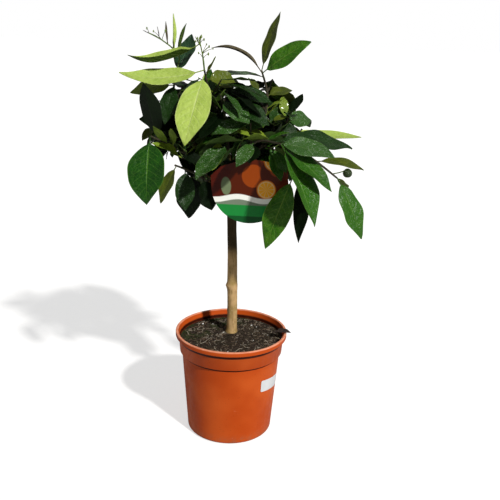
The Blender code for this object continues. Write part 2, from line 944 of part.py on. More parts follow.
def inner_profile():
    """The pot's inside from the lip's inner edge to the middle of its floor."""
    lip_foot = POT_HEIGHT - LIP_HEIGHT
    return [
        (RIM_RADIUS - LIP_WIDTH, POT_HEIGHT - LIP_ROUNDING),
        (COLLAR_TOP_RADIUS - POT_WALL, lip_foot - LIP_ROUNDING),
        (COLLAR_FOOT_RADIUS - POT_WALL, COLLAR_FOOT),
        (WALL_TOP_RADIUS - POT_WALL, WALL_TOP),
        (BASE_RADIUS - POT_WALL, BASE_ROUNDING + POT_FLOOR),
        (BASE_RADIUS - POT_WALL - BASE_ROUNDING, POT_FLOOR),
        (0.0, POT_FLOOR),
    ]


def build_pot(material):
    """Turn the pot from its profile and cut the drain holes through its floor."""
    corner = RIM_RADIUS - LIP_ROUNDING, POT_HEIGHT - LIP_ROUNDING
    inner_corner = RIM_RADIUS - LIP_WIDTH + LIP_ROUNDING, POT_HEIGHT
    profile = wall_profile() + arc(corner, LIP_ROUNDING, 0.0, 90.0, 2) + [inner_corner]
    pot = add_object("pot", spin_profile(profile + inner_profile(), POT_STEPS), material)
    cutters = bmesh.new()
    for i in range(DRAIN_HOLES):
        angle = TURN * (i + 0.5) / DRAIN_HOLES
        made = bmesh.ops.create_cone(
            cutters,
            cap_ends=True,
            segments=DRAIN_SIDES,
            radius1=DRAIN_HOLE_RADIUS,
            radius2=DRAIN_HOLE_RADIUS,
            depth=POT_FLOOR * 4.0,
        )
        spot = (DRAIN_RING_RADIUS * math.cos(angle), DRAIN_RING_RADIUS * math.sin(angle), 0.0)
        bmesh.ops.translate(cutters, verts=made["verts"], vec=spot)
    cut_away(pot, add_object("drain_cutter", cutters))


def cut_away(obj, cutter, solver="EXACT"):
    """Cut one solid out of another and drop the cutter."""
    cut = obj.modifiers.new("cut", "BOOLEAN")
    cut.operation = "DIFFERENCE"
    cut.object = cutter
    cut.solver = solver
    apply_modifiers(obj)
    remove_objects([cutter])


def build_compost(material):
    """Fill the pot to just below its rim, a little higher round the trunk."""
    wall = BASE_RADIUS - POT_WALL - GAP
    step = COLLAR_FOOT + 2.0 * GAP
    rise = (SOIL_EDGE - COLLAR_FOOT) / (POT_HEIGHT - LIP_HEIGHT - COLLAR_FOOT)
    edge = COLLAR_FOOT_RADIUS + (COLLAR_TOP_RADIUS - COLLAR_FOOT_RADIUS) * rise
    middle = (SOIL_CROWN_RADIUS + RIM_RADIUS) / 2.0
    profile = [
        (0.0, POT_FLOOR + GAP),
        (wall - BASE_ROUNDING - GAP, POT_FLOOR + GAP),
        (wall - GAP, BASE_ROUNDING + POT_FLOOR + GAP),
        (WALL_TOP_RADIUS - POT_WALL - 2.0 * GAP, WALL_TOP),
        (COLLAR_FOOT_RADIUS - POT_WALL - 2.0 * GAP, step),
        (edge - POT_WALL - 2.0 * GAP, SOIL_EDGE),
        (middle, (SOIL_EDGE + SOIL_TOP) / 2.0),
        (SOIL_CROWN_RADIUS, SOIL_TOP),
        (0.0, SOIL_TOP),
    ]
    add_object("compost", spin_profile(profile, SOIL_STEPS), material)


# Limbs


def trunk_rings(grown=0.0):
    """Rings of the trunk, with the knob where it was grafted, grown all over by a margin."""
    path = Path([place(point) for point in TRUNK_AXIS], 1)
    radii = [radius * MM + grown for radius in TRUNK_RADII]
    rings = tube_rings(path, radii, TRUNK_SIDES, UP)
    knob = min(rings[KNOB_RING], key=lambda vert: vert.x)
    knob.x -= KNOB_REACH * MM
    return rings


def build_trunk(material):
    """Build the trunk from its flat foot on the compost to its fork."""
    ring_solid("trunk", trunk_rings(), material=material)


def build_boughs(material):
    """Build each bough from the trunk, or from a bough it parts from, to its foliage."""
    carriers = [trunk_rings(GAP)]
    for spray in SPRAYS:
        if not spray.bough_height:
            continue
        path, heading = bough_path(spray)
        radii = bough_radii(path)
        rings = tube_rings(path, radii, BOUGH_SIDES)
        square = path.points[-1]
        rings[-1] = [vert - heading * heading.dot(vert - square) for vert in rings[-1]]
        bough = ring_solid("bough_" + spray.name, rings, material=material)
        for carrier in carriers:
            cut_away(bough, ring_solid("carrier", carrier))
        keep_largest(bough)
        carriers.append(tube_rings(path, [radius + GAP for radius in radii], BOUGH_SIDES))


def keep_largest(obj):
    """Drop every loose scrap of an object but its largest piece."""
    bm = bmesh.new()
    bm.from_mesh(obj.data)
    bm.verts.ensure_lookup_table()
    waiting, pieces = set(bm.verts), []
    while waiting:
        piece, edge = set(), [waiting.pop()]
        while edge:
            vert = edge.pop()
            piece.add(vert)
            near = {e.other_vert(vert) for e in vert.link_edges} & waiting
            waiting -= near
            edge += near
        pieces.append(piece)
    pieces.sort(key=len)
    scraps = [vert for piece in pieces[:-1] for vert in piece]
    bmesh.ops.delete(bm, geom=scraps, context="VERTS")
    bm.to_mesh(obj.data)
    bm.free()


# Masses of foliage


def fuse(obj, parts):
    """Join closed parts into one body with an object."""
    together = bpy.data.collections.new("parts")
    bpy.context.scene.collection.children.link(together)
    for part in parts:
        bpy.context.scene.collection.objects.unlink(part)
        together.objects.link(part)
    join = obj.modifiers.new("join", "BOOLEAN")
    join.operation = "UNION"
    join.operand_type = "COLLECTION"
    join.collection = together
    join.solver = "MANIFOLD"
    apply_modifiers(obj)
    remove_objects(parts)
    bpy.data.collections.remove(together)
    keep_largest(obj)


def build_fruit(spray, growth):
    """Build a green fruit on its stalk."""
    seat, spot = spray.fruit
    foot, middle = growth.stem.at(seat)[0], place(spot)
    ball = bmesh.new()
    bmesh.ops.create_icosphere(ball, subdivisions=2, radius=FRUIT_RADIUS)
    bmesh.ops.translate(ball, verts=ball.verts, vec=middle)
    stalk = Path([foot, middle], 1)
    return [
        add_object("fruit", ball),
        ring_solid("stalk", tube_rings(stalk, [STALK_WIDTH / 2.0] * 2, TWIG_SIDES)),
    ]


def build_mass(spray, growth, material):
    """Build one mass of foliage: its stem with the twigs, leaves and fruit fused on."""
    rings = tube_rings(growth.stem, growth.stem_radii, STEM_SIDES, growth.stem_heading)
    mass = ring_solid("foliage_" + spray.name, rings, material=material)
    parts = [
        ring_solid("twig", tube_rings(path, radii, TWIG_SIDES)) for path, radii in growth.twigs
    ]
    parts += [ring_solid("leaf", blade.rings(), blade.point()) for blade in growth.blades]
    if spray.fruit:
        parts += build_fruit(spray, growth)
    fuse(mass, parts)


# Tag


def tag_outline():
    """The card's outline round its eye, tab, shoulders, sides and round foot."""
    foot = [
        (TAG_HALF_WIDTH * math.cos(a), TAG_HALF_WIDTH * math.sin(a) - TAG_DROP)
        for a in (-math.pi * i / TAG_ARC_STEPS for i in range(TAG_ARC_STEPS + 1))
    ]
    tab = [
        (TAG_TAB_HALF_WIDTH * math.cos(a), TAG_TAB_HALF_WIDTH * math.sin(a))
        for a in (math.pi * (1 - i / TAG_TAB_STEPS) for i in range(TAG_TAB_STEPS + 1))
    ]
    side = [
        (TAG_TAB_HALF_WIDTH, TAG_NECK_RISE - TAG_SHOULDER),
        (TAG_HALF_WIDTH * TAG_SHOULDER_SHARE, -TAG_SHOULDER),
        (TAG_HALF_WIDTH, -TAG_SHOULDER - TAG_CORNER_DROP),
    ]
    return [*tab, *side, *foot, *((-across, up) for across, up in reversed(side))]


def tag_point(across, up, depth):
    """Turn a place on the card into the frame, with the card hanging a little askew."""
    x = across * math.cos(TAG_TILT) - up * math.sin(TAG_TILT)
    z = across * math.sin(TAG_TILT) + up * math.cos(TAG_TILT)
    return TAG_EYE + Vector((x, depth, z))


def tag_rings(outline, thickness):
    """The outline on the card's front and on its back."""
    return [[tag_point(x, z, side * thickness / 2.0) for x, z in outline] for side in (-1.0, 1.0)]


def plate(name, outline, thickness, material=None):
    """Make an upright plate that hangs as the card does."""
    return ring_solid(name, tag_rings(outline, thickness), material=material, smooth=False)


def build_tag(material):
    """Build the card with the eye by which it hangs on a twig."""
    tag = plate("tag", tag_outline(), TAG_THICKNESS, material)
    eye = [
        (TAG_EYE_RADIUS * math.cos(a), TAG_EYE_RADIUS * math.sin(a))
        for a in (TURN * i / TAG_EYE_STEPS for i in range(TAG_EYE_STEPS))
    ]
    cut_away(tag, plate("eye_cutter", eye, TAG_THICKNESS * 4.0))


def tag_room():
    """The card grown by the stand-off, for testing what would touch it."""
    return ring_faces(tag_rings(tag_outline(), TAG_THICKNESS + 2.0 * STAND_OFF))


def main():
    """Build every piece."""
    clear_objects()
    plastic = make_material("terracotta_plastic", (0.52, 0.09, 0.022), 0.42)
    soil = make_material("compost", (0.018, 0.011, 0.007), 0.95)
    bark = make_material("bark", (0.36, 0.25, 0.13), 0.8)
    leaf = make_material("leaf", (0.05, 0.16, 0.012), 0.35)
    card = make_material("card", (0.75, 0.22, 0.03), 0.4)
    build_pot(plastic)
    build_compost(soil)
    build_trunk(bark)
    build_boughs(bark)
    build_tag(card)
    growths = grow_crown()
    for spray, growth in zip(SPRAYS, growths):
        build_mass(spray, growth, leaf)


if __name__ == "__main__":
    main()
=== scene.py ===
"""The looks of a young orange tree in a 20 cm plastic pot, with the picture tag it is sold with.

Metres, +Z up, the front towards -Y, the origin in the middle of the pot's underside. Places in the
crown are written in millimetres and turned into metres by place(). Limbs and leaves grow by the
rule of the solids they stand for, and go on from there to finer twigs.
"""

import logging
from dataclasses import dataclass, replace
from enum import Enum
from functools import cache
from math import ceil, copysign, cos, hypot, pi, radians, sin, sqrt, tan
from random import Random

import bmesh
import bpy
from mathutils import Matrix, Quaternion, Vector, noise
from mathutils.bvhtree import BVHTree


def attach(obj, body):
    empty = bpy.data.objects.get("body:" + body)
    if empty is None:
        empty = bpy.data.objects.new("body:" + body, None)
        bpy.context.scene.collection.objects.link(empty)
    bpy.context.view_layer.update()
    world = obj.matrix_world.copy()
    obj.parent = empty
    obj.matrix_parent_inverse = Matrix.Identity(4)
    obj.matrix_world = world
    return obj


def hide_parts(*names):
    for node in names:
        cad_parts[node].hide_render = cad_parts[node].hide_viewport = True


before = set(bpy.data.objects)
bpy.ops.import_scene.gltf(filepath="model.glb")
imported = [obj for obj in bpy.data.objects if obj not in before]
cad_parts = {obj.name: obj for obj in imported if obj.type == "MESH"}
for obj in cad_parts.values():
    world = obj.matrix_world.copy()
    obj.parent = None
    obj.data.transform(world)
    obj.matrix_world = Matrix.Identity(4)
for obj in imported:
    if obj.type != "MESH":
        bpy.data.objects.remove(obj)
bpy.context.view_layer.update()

LOG = logging.getLogger("orange_tree")
MM = 0.001
GAP = 0.3 * MM
TURN = 2.0 * pi
UP = Vector((0.0, 0.0, 1.0))
BLADE_MAP = "Blade"
CARD_MAP = "Card"
BAKE_MAP = "OFBake"
BLADE_MAP_HALF = 0.45
VEINS_PER_LEAF = 10.0

Colour = tuple[float, float, float]
Place = tuple[float, float, float]
Pair = tuple[float, float]
BMesh = bmesh.types.BMesh
Material = bpy.types.Material
Mesh = bpy.types.Mesh
Socket = bpy.types.NodeSocket
Tree = bpy.types.NodeTree
Rings = list[list[Vector]]


class Tone(Enum):
    """The colours that the leaves come in."""

    YOUNG = "young"
    LIME = "lime"
    BRIGHT = "bright"
    RICH = "rich"
    MID = "mid"
    SILVER = "silver"
    OLIVE = "olive"
    BLUE = "blue"
    DARK = "dark"
    # Near-black: painted shade for leaves that lie in shadow.
    DEEP = "deep"
    BRONZE = "bronze"


YOUNG, LIME, BRIGHT, RICH, MID, SILVER, OLIVE, BLUE, DARK, DEEP, BRONZE = Tone


class Wood(Enum):
    """The kinds of twig."""

    GREEN = "green"
    BROWN = "brown"


def place(point: Place) -> Vector:
    """Turn a place in millimetres into metres."""
    return Vector(point) * MM


def paint(colour: Colour) -> tuple[float, float, float, float]:
    """Turn a colour as a screen shows it, from 0 to 255, into light as a shader takes it."""
    shares = (value / 255.0 for value in colour)
    light = (v / 12.92 if v <= 0.04045 else ((v + 0.055) / 1.055) ** 2.4 for v in shares)
    return (*light, 1.0)


def brighter(colour: Colour, factor: float) -> Colour:
    """Give a brighter shade of a colour."""
    return tuple(min(255, round(value * factor)) for value in colour)


# Shaders


class Sketch:
    """A shader tree being drawn, with short calls that add nodes and join them."""

    def __init__(self, tree: Tree) -> None:
        """Keep the tree to draw in."""
        self.tree = tree

    def node(self, kind: str, inputs: dict | None = None, **settings: object) -> bpy.types.Node:
        """Add a node.

        Args:
            kind: The node's type, without its leading ShaderNode.
            inputs: Values or sockets for its inputs, by name or number.
            settings: Its properties.

        Returns:
            The new node.
        """
        made = self.tree.nodes.new("ShaderNode" + kind)
        for key, value in settings.items():
            setattr(made, key, value)
        for key, value in (inputs or {}).items():
            self.feed(made.inputs[key], value)
        return made

    def feed(self, socket: Socket, value: object) -> None:
        """Join a socket to an input, or set the input's own value."""
        if isinstance(value, Socket):
            self.tree.links.new(value, socket)
        else:
            socket.default_value = value

    def maths(self, operation: str, *values: object) -> Socket:
        """Work out one number from others."""
        return self.node("Math", dict(enumerate(values)), operation=operation).outputs[0]

    def times(self, first: object, second: object) -> Socket:
        """Multiply two numbers."""
        return self.maths("MULTIPLY", first, second)

    def plus(self, first: object, second: object) -> Socket:
        """Add two numbers."""
        return self.maths("ADD", first, second)

    def minus(self, first: object, second: object) -> Socket:
        """Take the second number from the first."""
        return self.maths("SUBTRACT", first, second)

    def part(self, vector: object, number: int) -> Socket:
        """Give one part of a vector, by its number."""
        return self.node("SeparateXYZ", {0: vector}).outputs[number]

    def span(
        self, value: object, low: object, high: object, start: float = 0.0, end: float = 1.0
    ) -> Socket:
        """Turn a stretch of values smoothly into another, so that low gives start and high end."""
        inputs = {0: value, 1: low, 2: high, 3: start, 4: end}
        return self.node("MapRange", inputs, interpolation_type="SMOOTHSTEP").outputs[0]

    def blend(self, share: object, first: object, second: object) -> Socket:
        """Mix two colours, the second by a share."""
        return self.node("Mix", {0: share, 6: first, 7: second}, data_type="RGBA").outputs[2]

    def noise(self, vector: object, scale: object, detail: float, roughness: float = 0.5) -> Socket:
        """Give soft noise about a half, with so many lumps to a metre and so many finer layers."""
        inputs = {"Vector": vector, "Scale": scale, "Detail": detail, "Roughness": roughness}
        return self.node("TexNoise", inputs).outputs[0]

    def stretched(self, vector: object, scale: Place) -> Socket:
        """Stretch coordinates by a factor along each axis."""
        return self.node("Mapping", {"Vector": vector, "Scale": scale}).outputs[0]

    def bump(self, height: object, depth: float) -> Socket:
        """Turn a height from 0 to 1 into a normal, with its depth in metres."""
        return self.node("Bump", {"Height": height, "Distance": depth}).outputs[0]


VECTOR, FLOAT = "NodeSocketVector", "NodeSocketFloat"


class Group(Sketch):
    """A node group being drawn, which takes some values and puts out others."""

    def __init__(self, name: str, inputs: dict[str, str], outputs: tuple[str, ...]) -> None:
        """Begin the group.

        Args:
            name: Its name.
            inputs: The socket type of each input, by name.
            outputs: The name of each value that it puts out.
        """
        super().__init__(bpy.data.node_groups.new(name, "ShaderNodeTree"))
        for label, kind in inputs.items():
            self.tree.interface.new_socket(label, in_out="INPUT", socket_type=kind)
        for label in outputs:
            self.tree.interface.new_socket(label, in_out="OUTPUT", socket_type=FLOAT)
        self.given = self.tree.nodes.new("NodeGroupInput").outputs
        self.out = self.tree.nodes.new("NodeGroupOutput").inputs


# The node groups that several finishes share, each built once


@cache
def mottle_group() -> Tree:
    """Build broad and fine patches of variation."""
    group = Group("mottle", {"Vector": VECTOR, "Scale": FLOAT}, ("Broad", "Fine"))
    for label, factor, detail in (("Broad", 1.0, 2.0), ("Fine", 7.0, 4.0)):
        scale = group.times(group.given["Scale"], factor)
        value = group.noise(group.given["Vector"], scale, detail)
        group.feed(group.out[label], group.span(value, 0.32, 0.68))
    return group.tree


@cache
def specks_group() -> Tree:
    """Build scattered specks, as of grit or of a rough skin."""
    inputs = {"Vector": VECTOR, "Scale": FLOAT, "Share": FLOAT}
    group = Group("specks", inputs, ("Mask", "Height"))
    where = {label: group.given[label] for label in ("Vector", "Scale")}
    spots = group.node("TexVoronoi", where).outputs
    shade = group.node("SeparateColor", {0: spots["Color"]}).outputs[0]
    chosen = group.maths("LESS_THAN", shade, group.given["Share"])
    round_spot = group.span(spots["Distance"], 0.15, 0.42, 1.0, 0.0)
    group.feed(group.out["Mask"], group.times(chosen, round_spot))
    group.feed(group.out["Height"], group.span(spots["Distance"], 0.0, 0.7, 1.0, 0.0))
    return group.tree


@cache
def veins_group() -> Tree:
    """Build a leaf's midrib, side veins, net and margin.

    Place holds the leaf's number and the share across it in x, and the share along it in y.

    Returns:
        The group.
    """
    names = ("Rib", "Veins", "Net", "Margin", "Leaf", "Height")
    group = Group("leaf_veins", {"Place": VECTOR}, names)
    column, along = (group.part(group.given["Place"], number) for number in (0, 1))
    number = group.maths("FLOOR", column)
    across = group.minus(group.maths("FRACT", column), 0.5)
    off = group.maths("DIVIDE", group.maths("ABSOLUTE", across), BLADE_MAP_HALF)
    thin = group.span(along, 0.0, 1.0, 0.085, 0.02)
    rib = group.span(off, group.times(thin, 0.5), thin, 1.0, 0.0)
    lean = group.times(off, group.plus(group.times(off, 0.06), 0.13))
    other_side = group.times(group.maths("GREATER_THAN", across, 0.0), 0.5)
    step = group.times(group.minus(along, lean), VEINS_PER_LEAF)
    wave = group.maths("FRACT", group.plus(step, other_side))
    edge = group.times(group.maths("ABSOLUTE", group.minus(wave, 0.5)), 2.0)
    veins = group.times(group.span(edge, 0.80, 0.97), group.span(off, 0.55, 0.97, 1.0, 0.0))
    parts = {0: group.times(column, 4.5), 1: group.times(along, 9.0), 2: number}
    spot = group.node("CombineXYZ", parts).outputs[0]
    where = {"Vector": spot, "Scale": 2.6}
    cells = group.node("TexVoronoi", where, feature="DISTANCE_TO_EDGE").outputs[0]
    net = group.span(cells, 0.01, 0.10, 1.0, 0.0)
    tint = group.node("TexWhiteNoise", {1: number}, noise_dimensions="1D").outputs[0]
    dips = group.plus(group.times(rib, 0.9), group.times(veins, 0.55))
    dips = group.plus(dips, group.times(net, 0.16))
    height = group.minus(group.times(group.noise(spot, 7.0, 2.0), 0.7), dips)
    found = (rib, veins, net, group.span(off, 0.93, 0.99), tint, height)
    for label, value in zip(names, found):
        group.feed(group.out[label], value)
    return group.tree


class Coat(Sketch):
    """A material being painted: a first colour, layers over it, then its gloss and relief."""

    def __init__(self, name: str, scale: float, **sockets: float) -> None:
        """Start the material.

        Args:
            name: Its name.
            scale: How many patches of variation there are to a metre.
            sockets: Constant values of the shader, with _ for a space.
        """
        self.material = bpy.data.materials.new(name)
        self.material.use_nodes = True
        super().__init__(self.material.node_tree)
        self.shader = self.tree.nodes["Principled BSDF"].inputs
        for key, value in sockets.items():
            self.shader[key.replace("_", " ")].default_value = value
        self.body = self.node("TexCoord").outputs["Object"]
        patches = self.node("Group", {"Vector": self.body, "Scale": scale}, node_tree=mottle_group())
        self.broad, self.fine = patches.outputs

    def base(self, share: object, first: Colour, second: Colour) -> None:
        """Lay the first colour, with a share of a second one in it."""
        self.shade = self.blend(share, paint(first), paint(second))

    def lay(self, colour: Colour, share: object, factor: float = 1.0) -> None:
        """Paint a colour over what is there, by a share."""
        self.shade = self.blend(self.times(share, factor), self.shade, paint(colour))

    def patchy(self, low: float, high: float) -> Socket:
        """Give a value between two by the fine patches."""
        return self.span(self.fine, 0.0, 1.0, low, high)

    def specks(self, scale: float, share: float) -> bpy.types.bpy_prop_collection:
        """Give the mask and the height of scattered specks."""
        inputs = {"Vector": self.body, "Scale": scale, "Share": share}
        return self.node("Group", inputs, node_tree=specks_group()).outputs

    def veins(self) -> bpy.types.bpy_prop_collection:
        """Give the values of a leaf's veins."""
        spot = self.node("UVMap", uv_map=BLADE_MAP).outputs[0]
        return self.node("Group", {"Place": spot}, node_tree=veins_group()).outputs

    def finish(self, rough: object, height: object, depth: float) -> Material:
        """Join the colour, the roughness and the relief to the shader."""
        for key, value in (("Base Color", self.shade), ("Roughness", rough)):
            self.feed(self.shader[key], value)
        self.feed(self.shader["Normal"], self.bump(height, depth))
        return self.material


@dataclass(frozen=True)
class LeafFinish:
    """A leaf's two sides, in one tone."""

    name: str
    colour: Colour
    patch: Colour
    vein: Colour
    under: Colour
    rough: float = 0.36
    coat: float = 0.25
    vein_show: float = 0.5
    painted_glints: float = 0.0
    sheen: float = 0.25
    crumple: float = 4.5

    def upper(self) -> Material:
        """Make the glossy upper side, with sunk veins."""
        coat = Coat(self.name, 70.0, Coat_Weight=self.coat, Coat_Roughness=0.09,
                    Specular_IOR_Level=self.sheen)
        veins = coat.veins()
        coat.base(coat.broad, self.colour, self.patch)
        coat.lay(brighter(self.patch, 1.22), veins["Leaf"], 0.55)
        coat.lay(self.vein, veins["Net"], self.vein_show * 0.28)
        coat.lay(self.vein, veins["Veins"], self.vein_show * 0.45)
        coat.lay(self.vein, coat.maths("MAXIMUM", veins["Rib"], veins["Margin"]), self.vein_show)
        # Painted highlight: pale glints as dots in the broad patches.
        if self.painted_glints:
            mask = coat.times(coat.specks(520.0, 0.42)["Mask"], coat.broad)
            coat.lay((190, 204, 186), mask, self.painted_glints)
        skin = coat.times(coat.noise(coat.body, 1400.0, 2.0), 0.35)
        folds = coat.times(coat.noise(coat.body, 150.0, 1.5), self.crumple)
        height = coat.plus(veins["Height"], coat.plus(skin, folds))
        return coat.finish(coat.patchy(self.rough - 0.08, self.rough + 0.10), height, 0.00045)

    def lower(self) -> Material:
        """Make the matt under side, with raised veins."""
        coat = Coat(self.name + "_under", 90.0, Specular_IOR_Level=0.15)
        veins = coat.veins()
        coat.base(coat.broad, self.under, brighter(self.under, 1.18))
        lines = coat.maths("MAXIMUM", veins["Rib"], coat.times(veins["Veins"], 0.6))
        coat.lay(self.vein, lines, 0.45)
        return coat.finish(coat.patchy(0.52, 0.68), coat.minus(1.0, veins["Height"]), 0.0004)


@dataclass(frozen=True)
class MouldedPlastic:
    """The pot's terracotta coloured plastic, scuffed and dusty."""

    name: str = "terracotta_plastic"
    colour: Colour = (202, 87, 28)
    deep: Colour = (186, 71, 14)
    wear_and_highlight: Colour = (234, 158, 124)
    dust: Colour = (150, 104, 74)
    painted_groove_shade: Colour = (44, 9, 4)
    inside_darker: Colour = (104, 48, 20)
    grit: Colour = (92, 44, 26)
    lip_wear_and_highlight: Pair = (0.72, 0.95)
    soil_line: float = 0.0190

    def make(self, pot: "Pot") -> Material:
        """Make the material: worn and painted paler as a highlight on the lip's top, painted shade on
        the lip's face, under the lip and in the step, and the inner wall painted darker above the
        compost.

        Args:
            pot: The pot that it is for.

        Returns:
            The material.
        """
        coat = Coat(self.name, 14.0, Specular_IOR_Level=0.14)
        height, lip = coat.part(coat.body, 2), pot.height - pot.lip_height
        flat = coat.stretched(coat.body, (1.0, 1.0, 0.0))
        radius = coat.node("VectorMath", {0: flat}, operation="LENGTH").outputs["Value"]
        coat.base(coat.broad, self.colour, self.deep)
        # Painted shade: the lip's face is darker from its foot up.
        coat.lay(self.deep, coat.span(height, lip - 0.4 * MM, lip + 0.4 * MM, 0.0, 0.5))
        # Wear and painted highlight: the lip's top is painted paler.
        ends = (lip + pot.lip_height * share for share in self.lip_wear_and_highlight)
        coat.lay(self.wear_and_highlight, coat.times(coat.span(height, *ends), coat.patchy(0.65, 1.0)))
        # The inner wall above the compost is painted darker and browner.
        wall = pot.collar_top_radius - pot.wall * 0.7
        within = coat.span(radius, wall - 0.3 * MM, wall + 0.3 * MM, 0.8, 0.0)
        within = coat.times(within, coat.span(height, lip, lip + 3.0 * MM, 1.0, 0.0))
        soil = coat.maths("GREATER_THAN", height, pot.collar_foot + self.soil_line)
        coat.lay(self.inside_darker, coat.times(within, soil))
        # Painted shade: dark bands under the lip and under the collar's step.
        for shade_height, half in ((lip - 4.0 * MM, 3.0 * MM), (pot.wall_top - 1.0 * MM, 2.1 * MM)):
            away = coat.maths("ABSOLUTE", coat.minus(height, shade_height))
            coat.lay(self.painted_groove_shade, coat.span(away, half * 0.6, half * 1.1, 0.95, 0.0))
        low = coat.span(height, 2.0 * MM, 22.0 * MM, 0.5, 0.0)
        coat.lay(self.dust, coat.times(low, coat.fine))
        scratch = coat.noise(coat.stretched(coat.body, (60.0, 60.0, 900.0)), 1.0, 5.0, 0.7)
        patch = coat.span(coat.noise(coat.body, 22.0, 2.0), 0.56, 0.68)
        scuff = coat.times(coat.span(scratch, 0.60, 0.70), patch)
        coat.lay(self.wear_and_highlight, scuff, 0.5)
        coat.lay(self.grit, coat.specks(420.0, 0.05)["Mask"], 0.35)
        rough = coat.plus(coat.patchy(0.36, 0.50), coat.times(scuff, 0.15))
        skin = coat.noise(coat.body, 1600.0, 3.0)
        return coat.finish(rough, coat.plus(skin, scuff), 0.00006)


@dataclass(frozen=True)
class Earth:
    """Peat in three shades, for the bed and the crumbs on it, with more moss at the back left."""

    name: str
    colour: Colour = (15, 11, 8)
    light: Colour = (76, 62, 49)
    moss: Colour = (48, 64, 24)
    dots: Colour = (112, 98, 84)

    def make(self) -> Material:
        """Make the material."""
        coat = Coat(self.name, 160.0, Specular_IOR_Level=0.25)
        coat.base(coat.fine, self.colour, self.light)
        back_left = coat.minus(coat.part(coat.body, 1), coat.part(coat.body, 0))
        shady = coat.span(back_left, 0.01, 0.07, 0.12, 1.0)
        green = coat.span(coat.noise(coat.body, 60.0, 2.0), 0.44, 0.60, 0.0, 0.75)
        coat.lay(self.moss, coat.times(green, shady))
        dots = coat.specks(700.0, 0.12)
        coat.lay(self.dots, dots["Mask"], 0.6)
        return coat.finish(0.92, coat.plus(coat.fine, dots["Height"]), 0.0007)


@dataclass(frozen=True)
class Speckled:
    """A plain thing with a little variation: perlite, fibre, fruit, bud or dry leaf."""

    name: str
    colour: Colour
    other: Colour
    rough: float = 0.7
    scale: float = 300.0
    relief: float = 0.0003

    def make(self) -> Material:
        """Make the material."""
        coat = Coat(self.name, self.scale)
        coat.base(coat.broad, self.colour, self.other)
        return coat.finish(coat.patchy(self.rough - 0.08, self.rough + 0.08), coat.fine, self.relief)


@dataclass(frozen=True)
class Bark:
    """Smooth young bark: tan with olive flecks, with the crown's shade painted on, darker from a given
    height up.
    """

    name: str
    colour: Colour = (200, 166, 118)
    fleck: Colour = (164, 138, 86)
    crown_shade: Colour = (25, 21, 12)
    crown_shade_heights: Pair = (0.322, 0.348)
    streak: Colour = (116, 88, 52)
    pore: Colour = (206, 182, 142)

    def make(self) -> Material:
        """Make the material."""
        coat = Coat(self.name, 60.0, Specular_IOR_Level=0.12)
        grain = coat.noise(coat.stretched(coat.body, (520.0, 520.0, 70.0)), 1.0, 4.0, 0.6)
        coat.base(coat.broad, self.colour, self.fleck)
        coat.lay(self.streak, coat.span(grain, 0.5, 0.68, 0.0, 0.55))
        pores = coat.specks(330.0, 0.22)["Mask"]
        coat.lay(self.pore, pores, 0.5)
        # Painted shade of the crown: dark from these heights up.
        coat.lay(self.crown_shade, coat.span(coat.part(coat.body, 2), *self.crown_shade_heights, 0.0, 0.9))
        relief = coat.plus(grain, coat.times(pores, 0.5))
        return coat.finish(coat.patchy(0.62, 0.82), relief, 0.0005)


